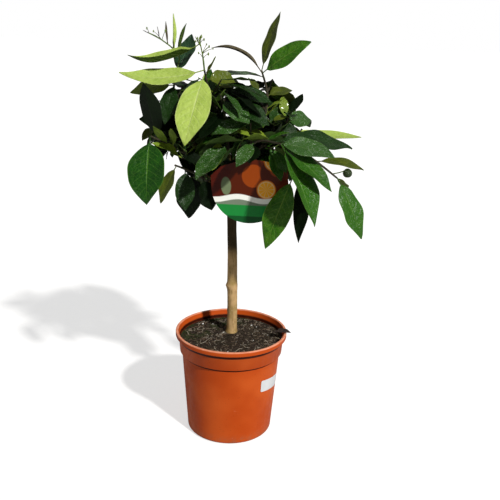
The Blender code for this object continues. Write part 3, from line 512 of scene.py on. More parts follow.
@dataclass(frozen=True)
class PrintedCard:
    """The tag's print: round fruit and slices on a warm field over a green foot, with no words.

    Places on the card are in its half widths, from the middle of its round foot.
    """

    field: Colour = (76, 17, 3)
    field_right: Colour = (98, 34, 5)
    warm: Colour = (84, 27, 3)
    glow: Colour = (206, 92, 14)
    rind: Colour = (232, 128, 18)
    pith: Colour = (250, 214, 150)
    sunlit: Colour = (255, 176, 40)
    shadow: Colour = (22, 40, 14)
    leaf: Colour = (112, 126, 92)
    pale: Colour = (250, 252, 244)
    strip: Colour = (118, 132, 112)
    foot: Colour = (28, 136, 58)
    foot_edge: Colour = (14, 84, 36)
    fruits: tuple[tuple[Pair, float], ...] = (((-0.06, 0.10), 0.52), ((0.62, 0.30), 0.34))
    slices: tuple[tuple[Pair, float], ...] = (((0.42, -0.12), 0.25), ((0.66, 0.62), 0.27))
    segments: int = 10
    soft_edge: float = 0.015

    def disc(self, coat: Coat, spot: Socket, middle: Pair, radius: float) -> Socket:
        """Give a round mask, 1 inside the disc and 0 outside it."""
        away = coat.node("VectorMath", {0: spot, 1: (*middle, 0.0)}, operation="DISTANCE")
        edges = radius - self.soft_edge, radius + self.soft_edge
        return coat.span(away.outputs["Value"], *edges, 1.0, 0.0)

    def lay_fruit(self, coat: Coat, spot: Socket, middle: Pair, radius: float) -> None:
        """Lay one round fruit over the print, lit from its upper right.

        Args:
            coat: The print so far.
            spot: The place on the card.
            middle: The fruit's middle.
            radius: Its radius.
        """
        mask = self.disc(coat, spot, middle, radius)
        coat.lay(self.warm, mask)
        lit = middle[0] + radius * 0.32, middle[1] + radius * 0.30
        coat.lay(self.glow, coat.times(self.disc(coat, spot, lit, radius * 0.58), mask), 0.4)

    def lay_slice(self, coat: Coat, spot: Socket, middle: Pair, radius: float) -> None:
        """Lay one cut slice over the print: rind, pale pith and segments.

        Args:
            coat: The print so far.
            spot: The place on the card.
            middle: The slice's middle.
            radius: Its radius.
        """
        coat.lay(self.rind, self.disc(coat, spot, middle, radius))
        coat.lay(self.pith, self.disc(coat, spot, middle, radius * 0.88))
        away = coat.node("VectorMath", {0: spot, 1: (*middle, 0.0)}, operation="SUBTRACT").outputs[0]
        angle = coat.maths("ARCTAN2", coat.part(away, 1), coat.part(away, 0))
        spoke = coat.maths("ABSOLUTE", coat.maths("SINE", coat.times(angle, self.segments / 2.0)))
        flesh = self.disc(coat, spot, middle, radius * 0.80)
        coat.lay(self.sunlit, coat.times(coat.span(spoke, 0.10, 0.26), flesh))

    def make(self) -> Material:
        """Make the material."""
        coat = Coat("printed_card", 50.0, Specular_IOR_Level=0.15, Coat_Weight=0.06,
                    Coat_Roughness=0.15)
        spot = coat.node("UVMap", uv_map=CARD_MAP).outputs[0]
        across, up = coat.part(spot, 0), coat.part(spot, 1)
        coat.base(coat.span(across, -0.7, 0.9), self.field, self.field_right)
        for middle, radius in self.fruits:
            self.lay_fruit(coat, spot, middle, radius)
        for middle, radius in self.slices:
            self.lay_slice(coat, spot, middle, radius)
        coat.lay(self.shadow, coat.span(up, 0.66, 0.70))
        tall = coat.stretched(spot, (1.0, 0.55, 1.0))
        coat.lay(self.leaf, self.disc(coat, tall, (-0.62, 0.02), 0.13))
        slope = coat.plus(up, coat.times(across, 0.10))
        band = coat.plus(slope, coat.times(coat.maths("SINE", coat.times(across, 5.0)), 0.05))
        bands = ((self.pale, band, -0.26), (self.strip, band, -0.40), (self.foot, slope, -0.50),
                 (self.foot_edge, slope, -0.80))
        for colour, line, top in bands:
            coat.lay(colour, coat.span(line, top, top - 0.03))
        return coat.finish(coat.span(coat.broad, 0.0, 1.0, 0.30, 0.42), coat.broad, 0.0002)


# Each tone's colour, patches, veins and under side, then its roughness, coat, veins' show,
# painted glints and sheen
TONE_LOOKS = {
    # Young leaves' under side is painted dark: painted shade.
    YOUNG: ((146, 172, 70), (164, 186, 86), (204, 216, 146), (52, 74, 22), 0.46, 0.06),
    LIME: ((84, 108, 18), (110, 132, 32), (158, 178, 84), (96, 118, 40), 0.42, 0.10, 0.45),
    BRIGHT: ((40, 96, 6), (64, 116, 12), (132, 170, 66), (78, 106, 34), 0.34, 0.18, 0.50, 0.15),
    RICH: ((8, 48, 2), (20, 68, 5), (92, 142, 44), (56, 84, 24), 0.34, 0.30, 0.52),
    MID: ((26, 74, 7), (44, 90, 12), (98, 142, 52), (62, 88, 28), 0.32, 0.22, 0.46, 0.2),
    SILVER: ((28, 62, 17), (48, 82, 30), (100, 130, 72), (68, 90, 40), 0.26, 0.45, 0.34, 0.9),
    OLIVE: ((54, 68, 12), (78, 90, 18), (118, 130, 52), (78, 90, 32), 0.38, 0.12, 0.36),
    BLUE: ((20, 46, 26), (36, 64, 40), (76, 104, 74), (52, 72, 42), 0.32, 0.2),
    DARK: ((13, 36, 7), (23, 50, 12), (54, 82, 32), (40, 60, 21), 0.32, 0.18, 0.26, 0.2, 0.2),
    # Shaded leaves are painted near-black: painted shade on leaves in the crown's shadow.
    DEEP: ((5, 14, 3), (9, 22, 6), (24, 40, 16), (13, 25, 9), 0.5, 0.0, 0.22, 0.0, 0.06),
    BRONZE: ((62, 56, 44), (80, 73, 52), (102, 96, 68), (58, 52, 42), 0.5, 0.0, 0.3),
}
LEAF_FINISHES = {tone: LeafFinish("leaf_" + tone.value, *looks) for tone, looks in TONE_LOOKS.items()}

GROWN_TONES = {
    DARK: ((DARK, 10), (MID, 3), (SILVER, 4), (OLIVE, 1), (LIME, 1)),
    MID: ((MID, 8), (DARK, 6), (SILVER, 2), (BRIGHT, 2), (LIME, 1)),
    DEEP: ((DEEP, 7), (DARK, 3)),
}


# Meshes


def mesh_of(bm: BMesh, turn_out: bool = True) -> Mesh:
    """Turn a bmesh into a mesh and free it.

    Args:
        bm: The bmesh.
        turn_out: Whether its faces are first turned to point outwards.

    Returns:
        The mesh.
    """
    if turn_out:
        bmesh.ops.recalc_face_normals(bm, faces=bm.faces)
    mesh = bpy.data.meshes.new("made")
    bm.to_mesh(mesh)
    bm.free()
    return mesh


def append(target: BMesh, part: BMesh, slot: int = 0) -> None:
    """Add one closed part to a bmesh, on a material slot."""
    for face in part.faces:
        face.material_index = slot
    mesh = mesh_of(part)
    target.from_mesh(mesh)
    bpy.data.meshes.remove(mesh)


def added(name: str, data: bpy.types.ID) -> bpy.types.Object:
    """Add an object with this data to the scene."""
    made = bpy.data.objects.new(name, data)
    bpy.context.scene.collection.objects.link(made)
    return made


def show(
    name: str,
    mesh: Mesh,
    materials: list[Material],
    replaced: tuple[str, ...] = (),
    sharp: float = 38.0,
) -> None:
    """Make a piece of the tree from a mesh.

    Args:
        name: The piece's name.
        mesh: Its mesh, in place.
        materials: Its materials, in the order of the mesh's slots.
        replaced: The nodes that it stands for.
        sharp: The angle in degrees past which an edge stays sharp.
    """
    mesh.name = name
    mesh.shade_smooth()
    mesh.set_sharp_from_angle(angle=radians(sharp))
    for material in materials:
        mesh.materials.append(material)
    piece = added(name, mesh)
    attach(piece, "root")
    if replaced:
        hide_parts(*replaced)
    LOG.info("%s: %d faces", name, len(mesh.polygons))


def extruded(bm: BMesh, faces: list[bmesh.types.BMFace]) -> list[bmesh.types.BMVert]:
    """Give flat faces a copy to be moved away as their back, joined to them by their rim."""
    made = bmesh.ops.extrude_face_region(bm, geom=faces, use_keep_orig=True)
    return [item for item in made["geom"] if isinstance(item, bmesh.types.BMVert)]


def turned(profile: list[Pair], steps: int) -> BMesh:
    """Turn a profile of (radius, height) points once round the Z axis.

    Args:
        profile: The points, from the axis or a rim to the next.
        steps: How many steps there are to the turn.

    Returns:
        The turned form.
    """
    bm = bmesh.new()
    verts = [bm.verts.new((radius, 0.0, height)) for radius, height in profile]
    edges = [bm.edges.new(pair) for pair in zip(verts, verts[1:])]
    bmesh.ops.spin(bm, geom=verts + edges, cent=(0.0, 0.0, 0.0), axis=UP, angle=TURN, steps=steps,
                   use_merge=True)
    bmesh.ops.remove_doubles(bm, verts=bm.verts, dist=1e-6)
    return bm


def arc(middle: Pair, radius: float, start: float, end: float, steps: int) -> list[Pair]:
    """Give points of an arc in a profile, its angles in degrees from the outward direction."""
    angles = (radians(start + (end - start) * i / steps) for i in range(steps + 1))
    return [(middle[0] + radius * cos(a), middle[1] + radius * sin(a)) for a in angles]


class Path:
    """A smooth line through given points, which gives a place and a heading at any share."""

    def __init__(self, points: list[Vector], steps: int = 3) -> None:
        """Sample a curve that passes through the points."""
        ends = [points[0] * 2 - points[1], *points, points[-1] * 2 - points[-2]]
        self.points = [points[0].copy()]
        for a, b, c, d in zip(ends, ends[1:], ends[2:], ends[3:]):
            for t in (i / steps for i in range(1, steps + 1)):
                square = (2 * a - 5 * b + 4 * c - d) * t**2
                cube = (3 * b - a - 3 * c + d) * t**3
                self.points.append(0.5 * (2 * b + (c - a) * t + square + cube))

    def at(self, share: float) -> tuple[Vector, Vector]:
        """Give the place and the heading at a share of the way."""
        spot = min(max(share, 0.0), 1.0) * (len(self.points) - 1)
        i = min(int(spot), len(self.points) - 2)
        step = self.points[i + 1] - self.points[i]
        return self.points[i] + step * (spot - i), step.normalized()

    def headings(self, first: Vector | None) -> list[Vector]:
        """Give the heading at each point, with the first one given where it is known."""
        last = len(self.points) - 1
        found = [
            (self.points[min(i + 1, last)] - self.points[max(i - 1, 0)]).normalized()
            for i in range(last + 1)
        ]
        return found if first is None else [first, *found[1:]]


def tube_rings(path: Path, radii: list[float], sides: int, first: Vector | None = None) -> Rings:
    """Give rings of points square to a path.

    Args:
        path: The middle line.
        radii: The radius at each of its points.
        sides: How many points each ring has.
        first: The heading of the first ring, where it is known.

    Returns:
        The rings.
    """
    rings = []
    headings = path.headings(first)
    side = headings[0].orthogonal().normalized()
    for point, heading, radius in zip(path.points, headings, radii):
        side = (side - heading * side.dot(heading)).normalized()
        across = heading.cross(side)
        angles = (TURN * i / sides for i in range(sides))
        rings.append([point + (side * cos(a) + across * sin(a)) * radius for a in angles])
    return rings


def room_tree(rings: Rings) -> BVHTree:
    """Give the closed room through rings, for testing what touches it."""
    sides = len(rings[0])
    last = (len(rings) - 1) * sides
    faces = [tuple(reversed(range(sides)))]
    for row in range(0, last, sides):
        for i in range(sides):
            a, b = row + i, row + (i + 1) % sides
            faces.append((a, b, b + sides, a + sides))
    faces.append(tuple(range(last, last + sides)))
    return BVHTree.FromPolygons([vert for ring in rings for vert in ring], faces)


def tapered(foot: float, tip: float, path: Path) -> list[float]:
    """Give radii that shrink evenly along a limb, one for each point of its path."""
    count = len(path.points)
    return [foot + (tip - foot) * i / (count - 1) for i in range(count)]


def sweep(rings: Rings) -> BMesh:
    """Extrude a round cap through rings of points, from the foot to the tip, as a closed tube."""
    bm = bmesh.new()
    made = bmesh.ops.create_circle(bm, cap_ends=True, segments=len(rings[0]), radius=1.0)
    cap = made["verts"][0].link_faces[0]
    for vert, spot in zip(cap.verts, rings[0]):
        vert.co = spot
    for i, ring in enumerate(rings[1:]):
        made = bmesh.ops.extrude_face_region(bm, geom=[cap], use_keep_orig=i == 0)
        cap = next(item for item in made["geom"] if isinstance(item, bmesh.types.BMFace))
        for vert, spot in zip(cap.verts, ring):
            vert.co = spot
    return bm


def tube(path: Path, foot: float, tip: float, sides: int) -> BMesh:
    """Make a plain tube along a path, with a radius at each end."""
    return sweep(tube_rings(path, tapered(foot, tip, path), sides))


def roughened(rings: Rings, path: Path, depth: float, grain: Place) -> Rings:
    """Push the points of rings in and out, as bark does.

    Args:
        rings: The rings.
        path: The middle line that they lie round.
        depth: How far the relief goes each way.
        grain: How many lumps there are to a metre, along each axis.

    Returns:
        The rings with their relief.
    """
    made = []
    for ring, middle in zip(rings, path.points):
        row = []
        for spot in ring:
            lump = noise.noise(Vector(a * b for a, b in zip(spot, grain)))
            fine = noise.noise(Vector(a * b * 2.7 for a, b in zip(spot, grain)))
            row.append(spot + (spot - middle).normalized() * depth * (lump + 0.5 * fine))
        made.append(row)
    return made


def cut_out(solid: Mesh, cutter: Mesh) -> Mesh:
    """Cut one closed mesh out of another, and give the cut mesh."""
    pair = [added(mesh.name, mesh) for mesh in (solid, cutter)]
    cut = pair[0].modifiers.new("cut", "BOOLEAN")
    cut.operation = "DIFFERENCE"
    cut.object = pair[1]
    evaluated = pair[0].evaluated_get(bpy.context.evaluated_depsgraph_get())
    mesh = bpy.data.meshes.new_from_object(evaluated)
    for obj in pair:
        bpy.data.objects.remove(obj, do_unlink=True)
    return mesh


# Pot


@dataclass
class Pot:
    """The moulded pot: a rounded base, a tapering wall, a step, a collar and an out-turned lip."""

    height: float = 0.190
    rim_radius: float = 0.100
    lip_height: float = 0.0085
    lip_width: float = 0.0045
    rounding: float = 0.0012
    collar_foot: float = 0.1530
    collar_top_radius: float = 0.0945
    collar_foot_radius: float = 0.0922
    collar_bevel: float = 0.0003
    wall_top: float = 0.1515
    wall_top_radius: float = 0.0884
    wall_rows: tuple[float, ...] = (0.03, 0.06, 0.09, 0.12)
    base_radius: float = 0.0772
    base_rounding: float = 0.0055
    base_recess: float = 0.0008
    base_ring: float = 0.0090
    base_bevel: float = 0.0010
    wall: float = 0.0018
    floor: float = 0.0025
    steps: int = 144
    holes: int = 8
    hole_ring: float = 0.052
    hole_radius: float = 0.0045
    hole_sides: int = 24

    def wall_radius(self, height: float) -> float:
        """Give the outside radius of the plain wall at a height."""
        share = (height - self.base_rounding) / (self.wall_top - self.base_rounding)
        return self.base_radius + (self.wall_top_radius - self.base_radius) * share

    def profile(self) -> list[Pair]:
        """Give the pot's section, from the middle of its underside to the middle of its floor."""
        foot, r, round_base = self.height - self.lip_height, self.rounding, self.base_rounding
        flat = self.base_radius - round_base
        return [
            (0.0, self.base_recess),
            (flat - self.base_ring - self.base_bevel, self.base_recess),
            (flat - self.base_ring, 0.0),
            *arc((flat, round_base), round_base, -90, 0, 8),
            *((self.wall_radius(z), z) for z in self.wall_rows),
            (self.wall_top_radius, self.wall_top),
            (self.collar_foot_radius - 0.4 * MM, self.collar_foot - self.collar_bevel),
            (self.collar_foot_radius, self.collar_foot + self.collar_bevel),
            (self.collar_top_radius, foot - r),
            (self.collar_top_radius + 0.8 * MM, foot - 0.2 * MM),
            *arc((self.rim_radius - r, foot + r), r, -80, 0, 4),
            *arc((self.rim_radius - r, self.height - r), r, 0, 90, 5),
            *arc((self.rim_radius - self.lip_width + r, self.height - r), r, 90, 180, 5),
            (self.collar_top_radius - self.wall + 0.6 * MM, foot),
            (self.collar_top_radius - self.wall, foot - r * 2.0),
            (self.collar_foot_radius - self.wall, self.collar_foot),
            (self.wall_top_radius - self.wall, self.wall_top),
            (self.base_radius - self.wall, round_base + self.floor),
            (flat - self.wall, self.floor),
            (0.0, self.floor),
        ]

    def build(self) -> None:
        """Turn the pot, cut its drain holes and dress it."""
        cutters = bmesh.new()
        for i in range(self.holes):
            angle = TURN * (i + 0.5) / self.holes
            made = bmesh.ops.create_cone(cutters, cap_ends=True, segments=self.hole_sides,
                                         radius1=self.hole_radius, radius2=self.hole_radius,
                                         depth=self.floor * 4.0)
            spot = (self.hole_ring * cos(angle), self.hole_ring * sin(angle), 0.0)
            bmesh.ops.translate(cutters, verts=made["verts"], vec=spot)
        shell = mesh_of(turned(self.profile(), self.steps))
        mesh = cut_out(shell, mesh_of(cutters))
        show("pot_shell", mesh, [MouldedPlastic().make(self)], ("pot",), 50.0)


@dataclass
class Label:
    """The bare paper label stuck on the pot's wall, a little askew."""

    middle_angle: float = -30.9
    half_turn: float = 18.2
    middle_height: float = 0.1070
    slope: float = -0.0033
    half_height: float = 0.0113
    thickness: float = 0.0002
    columns: int = 28
    rows: int = 12
    corner: Pair = (0.12, 0.28)

    def build(self, pot: Pot) -> None:
        """Wrap a thin sheet with rounded corners round the wall."""
        bm = bmesh.new()
        bmesh.ops.create_grid(bm, x_segments=self.columns, y_segments=self.rows, size=1.0)
        for vert in bm.verts:
            across, up = self.rounded(vert.co.xy)
            height = self.middle_height + self.slope * across + self.half_height * up
            angle = radians(self.middle_angle + self.half_turn * across)
            radius = pot.wall_radius(height) + self.thickness * 1.5
            vert.co = (radius * cos(angle), radius * sin(angle), height)
        bmesh.ops.recalc_face_normals(bm, faces=bm.faces)
        bmesh.ops.solidify(bm, geom=bm.faces[:], thickness=self.thickness)
        finish = Speckled("label_paper", (224, 226, 228), (214, 218, 221), 0.5, 40.0, 0.00004)
        show("price_label", mesh_of(bm), [finish.make()])

    def rounded(self, spot: Vector) -> Pair:
        """Pull a place near a corner of the sheet in, so that the corner is round."""
        past = [max(0.0, abs(v) - (1.0 - size)) / size for v, size in zip(spot, self.corner)]
        reach = max(1.0, hypot(*past))
        return tuple(
            v if reach == 1.0 else copysign(1.0 - size + size * far / reach, v)
            for v, size, far in zip(spot, self.corner, past)
        )


# Compost


@dataclass
class Compost:
    """Peat compost, a little higher round the trunk, with crumbs, fibres and perlite on it."""

    edge: float = 0.1750
    top: float = 0.1802
    crown_radius: float = 0.026
    bed_radius: float = 0.0915
    strewn_radius: float = 0.0880
    fibre_radius: float = 0.0900
    trunk_y: float = 0.012
    trunk_radius: float = 0.0125
    relief: float = 0.0016
    crumbs: int = 1500
    fibres: int = 260
    grains: int = 9
    steps: int = 128
    rings: int = 34
    straw: tuple[Place, Place] = ((0.0790, -0.0040, 0.1780), (0.0880, -0.0130, 0.1800))
    perlite: tuple[Place, ...] = (
        (-35.9, 45.9, 1.7), (-54.5, 44.6, 1.9), (36.4, 41.8, 1.8), (45.7, 35.5, 1.3)
    )

    def surface(self, x: float, y: float) -> float:
        """Give the height of the rough surface at a place."""
        away = (hypot(x, y) - self.crown_radius) / (self.bed_radius - self.crown_radius)
        level = self.top + (self.edge - self.top) * min(max(away, 0.0), 1.0) ** 1.3
        lumps = noise.noise(Vector((x * 120.0, y * 120.0, 0.0)))
        lumps += 0.6 * noise.noise(Vector((x * 380.0, y * 380.0, 3.0)))
        near_trunk = (hypot(x, y - self.trunk_y) - 0.010) / 0.02
        return level + lumps * self.relief * min(1.0, max(0.25, near_trunk))

    def build(self, pot: Pot) -> None:
        """Build the bed and what lies on it."""
        self.build_bed(pot)
        self.build_crumbs()
        self.build_fibres()
        self.build_perlite()

    def build_bed(self, pot: Pot) -> None:
        """Turn the bed and roughen its top."""
        inset = pot.wall + 2.0 * GAP
        rise = (self.edge - pot.collar_foot) / (pot.height - pot.lip_height - pot.collar_foot)
        rim = pot.collar_foot_radius + (pot.collar_top_radius - pot.collar_foot_radius) * rise
        rim -= inset
        low = pot.base_radius - inset
        profile = [
            (0.0, pot.floor + GAP),
            (low - pot.base_rounding, pot.floor + GAP),
            (low, pot.base_rounding + pot.floor + GAP),
            (pot.wall_top_radius - inset, pot.wall_top),
            (pot.collar_foot_radius - inset, pot.collar_foot + 2.0 * GAP),
            *((rim * (1.0 - i / self.rings), self.edge) for i in range(self.rings + 1)),
        ]
        bm = turned(profile, self.steps)
        for vert in bm.verts:
            if vert.co.z > self.edge - GAP and vert.co.xy.length < rim - GAP:
                vert.co.z = self.surface(vert.co.x, vert.co.y)
        material = Earth("peat").make()
        show("compost_bed", mesh_of(bm), [material], ("compost",), 60.0)

    def scatter(self, draw: Random) -> Pair:
        """Draw a place on the bed, clear of the trunk's foot."""
        while True:
            radius = self.strewn_radius * sqrt(draw.uniform(0.0, 1.0))
            angle = draw.uniform(0.0, TURN)
            x, y = radius * cos(angle), radius * sin(angle)
            if hypot(x, y - self.trunk_y) > self.trunk_radius:
                return x, y

    @staticmethod
    def crumb(draw: Random, spot: Vector, size: float, flat: float) -> BMesh:
        """Make a lump of few faces, its height a share of its width."""
        bm = bmesh.new()
        bmesh.ops.create_icosphere(bm, subdivisions=1, radius=size)
        for vert in bm.verts:
            vert.co *= draw.uniform(0.7, 1.25)
        bmesh.ops.scale(bm, vec=(1.0, draw.uniform(0.6, 1.0), flat), verts=bm.verts)
        turn = Matrix.Rotation(draw.uniform(0.0, TURN), 4, "Z")
        turn = turn @ Matrix.Rotation(draw.uniform(-0.4, 0.4), 4, "X")
        bmesh.ops.transform(bm, matrix=Matrix.Translation(spot) @ turn, verts=bm.verts)
        return bm

    def build_crumbs(self) -> None:
        """Strew crumbs of peat and bark, dark and pale."""
        draw = Random(7)
        bm = bmesh.new()
        for i in range(self.crumbs):
            x, y = self.scatter(draw)
            size = draw.uniform(0.7, 2.3) * MM * (1.0 if i % 9 else 1.5)
            spot = Vector((x, y, self.surface(x, y) + size * 0.15))
            lump = self.crumb(draw, spot, size, draw.uniform(0.5, 0.9))
            append(bm, lump, 0 if draw.random() < 0.78 else 1)
        materials = [
            Earth("peat_crumbs", (16, 12, 9), (66, 53, 41), (42, 58, 20)).make(),
            Earth("bark_crumbs", (80, 66, 54), (136, 120, 102), (64, 74, 40)).make(),
        ]
        show("compost_crumbs", mesh_of(bm), materials, sharp=25.0)

    def build_fibres(self) -> None:
        """Lay thin curled fibres and a straw on the bed."""
        draw = Random(11)
        bm = bmesh.new()
        for i in range(self.fibres):
            x, y = self.scatter(draw)
            heading, bend = draw.uniform(0.0, TURN), draw.uniform(-3.6, 3.6)
            length, points = draw.uniform(5.0, 20.0) * MM, []
            for _ in range(8):
                points.append(Vector((x, y, self.surface(x, y) + draw.uniform(0.4, 1.6) * MM)))
                heading += bend / 7.0
                x += cos(heading) * length / 7.0
                y += sin(heading) * length / 7.0
            if max(point.xy.length for point in points) > self.fibre_radius:
                continue
            radius = draw.uniform(0.26, 0.50) * MM
            append(bm, tube(Path(points, 2), radius, radius, 4), i % 2)
        straw = Path([Vector(point) for point in self.straw], 2)
        append(bm, tube(straw, 0.45 * MM, 0.45 * MM, 6), 2)
        materials = [
            Speckled("fibre_brown", (124, 104, 82), (74, 60, 47), 0.8).make(),
            Speckled("fibre_grey", (184, 174, 156), (124, 114, 98), 0.8).make(),
            Speckled("straw", (216, 206, 176), (186, 170, 134), 0.6).make(),
        ]
        show("compost_fibres", mesh_of(bm), materials)

    def build_perlite(self) -> None:
        """Set white grains of perlite, the few seen from the front and others."""
        draw = Random(5)
        spots = [place(spot) for spot in self.perlite]
        spots += [(*self.scatter(draw), draw.uniform(0.6, 1.3) * MM) for _ in range(self.grains)]
        bm = bmesh.new()
        for x, y, size in spots:
            spot = Vector((x, y, self.surface(x, y) + size * 0.8))
            append(bm, self.crumb(draw, spot, size, 0.85))
        material = Speckled("perlite", (244, 244, 240), (222, 222, 216), 0.8).make()
        show("perlite", mesh_of(bm), [material], sharp=30.0)


# Trunk and boughs

TRUNK_AXIS = tuple(place(point) for point in (
    (0.0, 12.0, 180.5),
    (0.3, 12.0, 186.0),
    (0.5, 12.0, 198.0),
    (0.5, 12.0, 225.0),
    (-0.2, 12.0, 256.0),
    (-0.6, 12.0, 270.0),
    (-0.8, 12.0, 282.0),
    (-1.6, 12.0, 330.0),
    (-3.4, 12.0, 375.0),
    (-4.6, 11.5, 415.0),
    (-5.0, 11.0, 440.0),
    (-5.5, 10.0, 475.0),
    (-6.0, 9.0, 505.0),
))
TRUNK_RADII = (11.2, 9.8, 9.1, 8.9, 9.0, 9.6, 8.9, 8.5, 8.1, 8.2, 9.0, 7.6, 5.6)
BOUGH_RADII = (4.0 * MM, 2.8 * MM)
BOUGH_STEPS = 4
BOUGH_SPREAD = 0.60
BOUGH_RISE = 0.25


def trunk_axis_at(height: float) -> Vector:
    """Give the place on the trunk's axis at a height."""
    for low, high in zip(TRUNK_AXIS, TRUNK_AXIS[1:]):
        if low.z <= height <= high.z:
            return low.lerp(high, (height - low.z) / (high.z - low.z))
    return TRUNK_AXIS[-1]


def at_share(values: tuple[float, ...], share: float) -> float:
    """Read a row of values at a share of its length."""
    spot = share * (len(values) - 1)
    i = min(int(spot), len(values) - 2)
    return values[i] + (values[i + 1] - values[i]) * (spot - i)


@dataclass
class Trunk:
    """The trunk, from its flared foot past the graft's knob to its fork, and its boughs."""

    sides: int = 40
    steps: int = 12
    knob_height: float = 0.270
    knob_reach: float = 0.0026
    knob_size: float = 0.010
    relief: float = 0.00028
    grain: Place = (330.0, 330.0, 60.0)
    bough_relief: float = 0.0002
    bough_grain: Place = (400.0, 400.0, 200.0)

    def build(self, sprays: tuple["Spray", ...]) -> None:
        """Build and dress the trunk and the boughs."""
        path = Path(list(TRUNK_AXIS), self.steps)
        count = len(path.points)
        radii = [at_share(TRUNK_RADII, i / (count - 1)) * MM for i in range(count)]
        rings = tube_rings(path, radii, self.sides, UP)
        rings = roughened(rings, path, self.relief, self.grain)
        for spot in (spot for ring in rings for spot in ring):
            near = max(0.0, 1.0 - abs(spot.z - self.knob_height) / self.knob_size)
            left = max(0.0, (path.at(0.4)[0].x - spot.x) / radii[0])
            spot.x -= self.knob_reach * near**1.5 * left**1.5
        bark = Bark("young_bark").make()
        show("trunk_bark", mesh_of(sweep(rings)), [bark], ("trunk",), 60.0)
        carried = [spray for spray in sprays if spray.bough_height]
        limbs = bmesh.new()
        for spray in carried:
            append(limbs, self.bough(spray))
        # The boughs get the crown's painted shade too, darker and greener upwards.
        bark = Bark("bough_bark", (104, 92, 52), (78, 84, 40), (58, 58, 30), (0.42, 0.60))
        nodes = tuple("bough_" + spray.name for spray in carried)
        show("boughs_bark", mesh_of(limbs), [bark.make()], nodes, 60.0)

    def bough(self, spray: "Spray") -> BMesh:
        """Build one bough as a tapering limb with bark relief."""
        path = Path(bough_path(spray)[0].points, 4)
        rings = tube_rings(path, tapered(BOUGH_RADII[0] * 1.15, BOUGH_RADII[1], path), 12)
        return sweep(roughened(rings, path, self.bough_relief, self.bough_grain))


# The crown: what is placed one by one


@dataclass(frozen=True)
class Leaf:
    """A listed leaf: where it sits on its shoot, where its tip hangs, and its tone."""

    seat: float
    tip: Place
    width: float
    tone: Tone = DEEP
    roll: float = 0.0
    droop: float = 20.0
    fold: float = 12.0
    flick: float = 0.0


@dataclass(frozen=True)
class Shoot:
    """A listed side shoot: its seat on the stem, the places it passes, its leaves."""

    seat: float
    route: tuple[Place, ...]
    leaves: tuple[Leaf, ...]
    radii: Pair = (1.5, 0.9)


@dataclass(frozen=True)
class Spray:
    """A mass of foliage on one bough: its stem, its shoots seen from the front, seed and tone."""

    name: str
    seed: int
    bough_height: float
    bough_tip: tuple[float, ...]
    stem: tuple[Place, ...]
    tone: Tone = DARK
    leaves: tuple[Leaf, ...] = ()
    shoots: tuple[Shoot, ...] = ()
    fruit: tuple[float, Place] | tuple[()] = ()


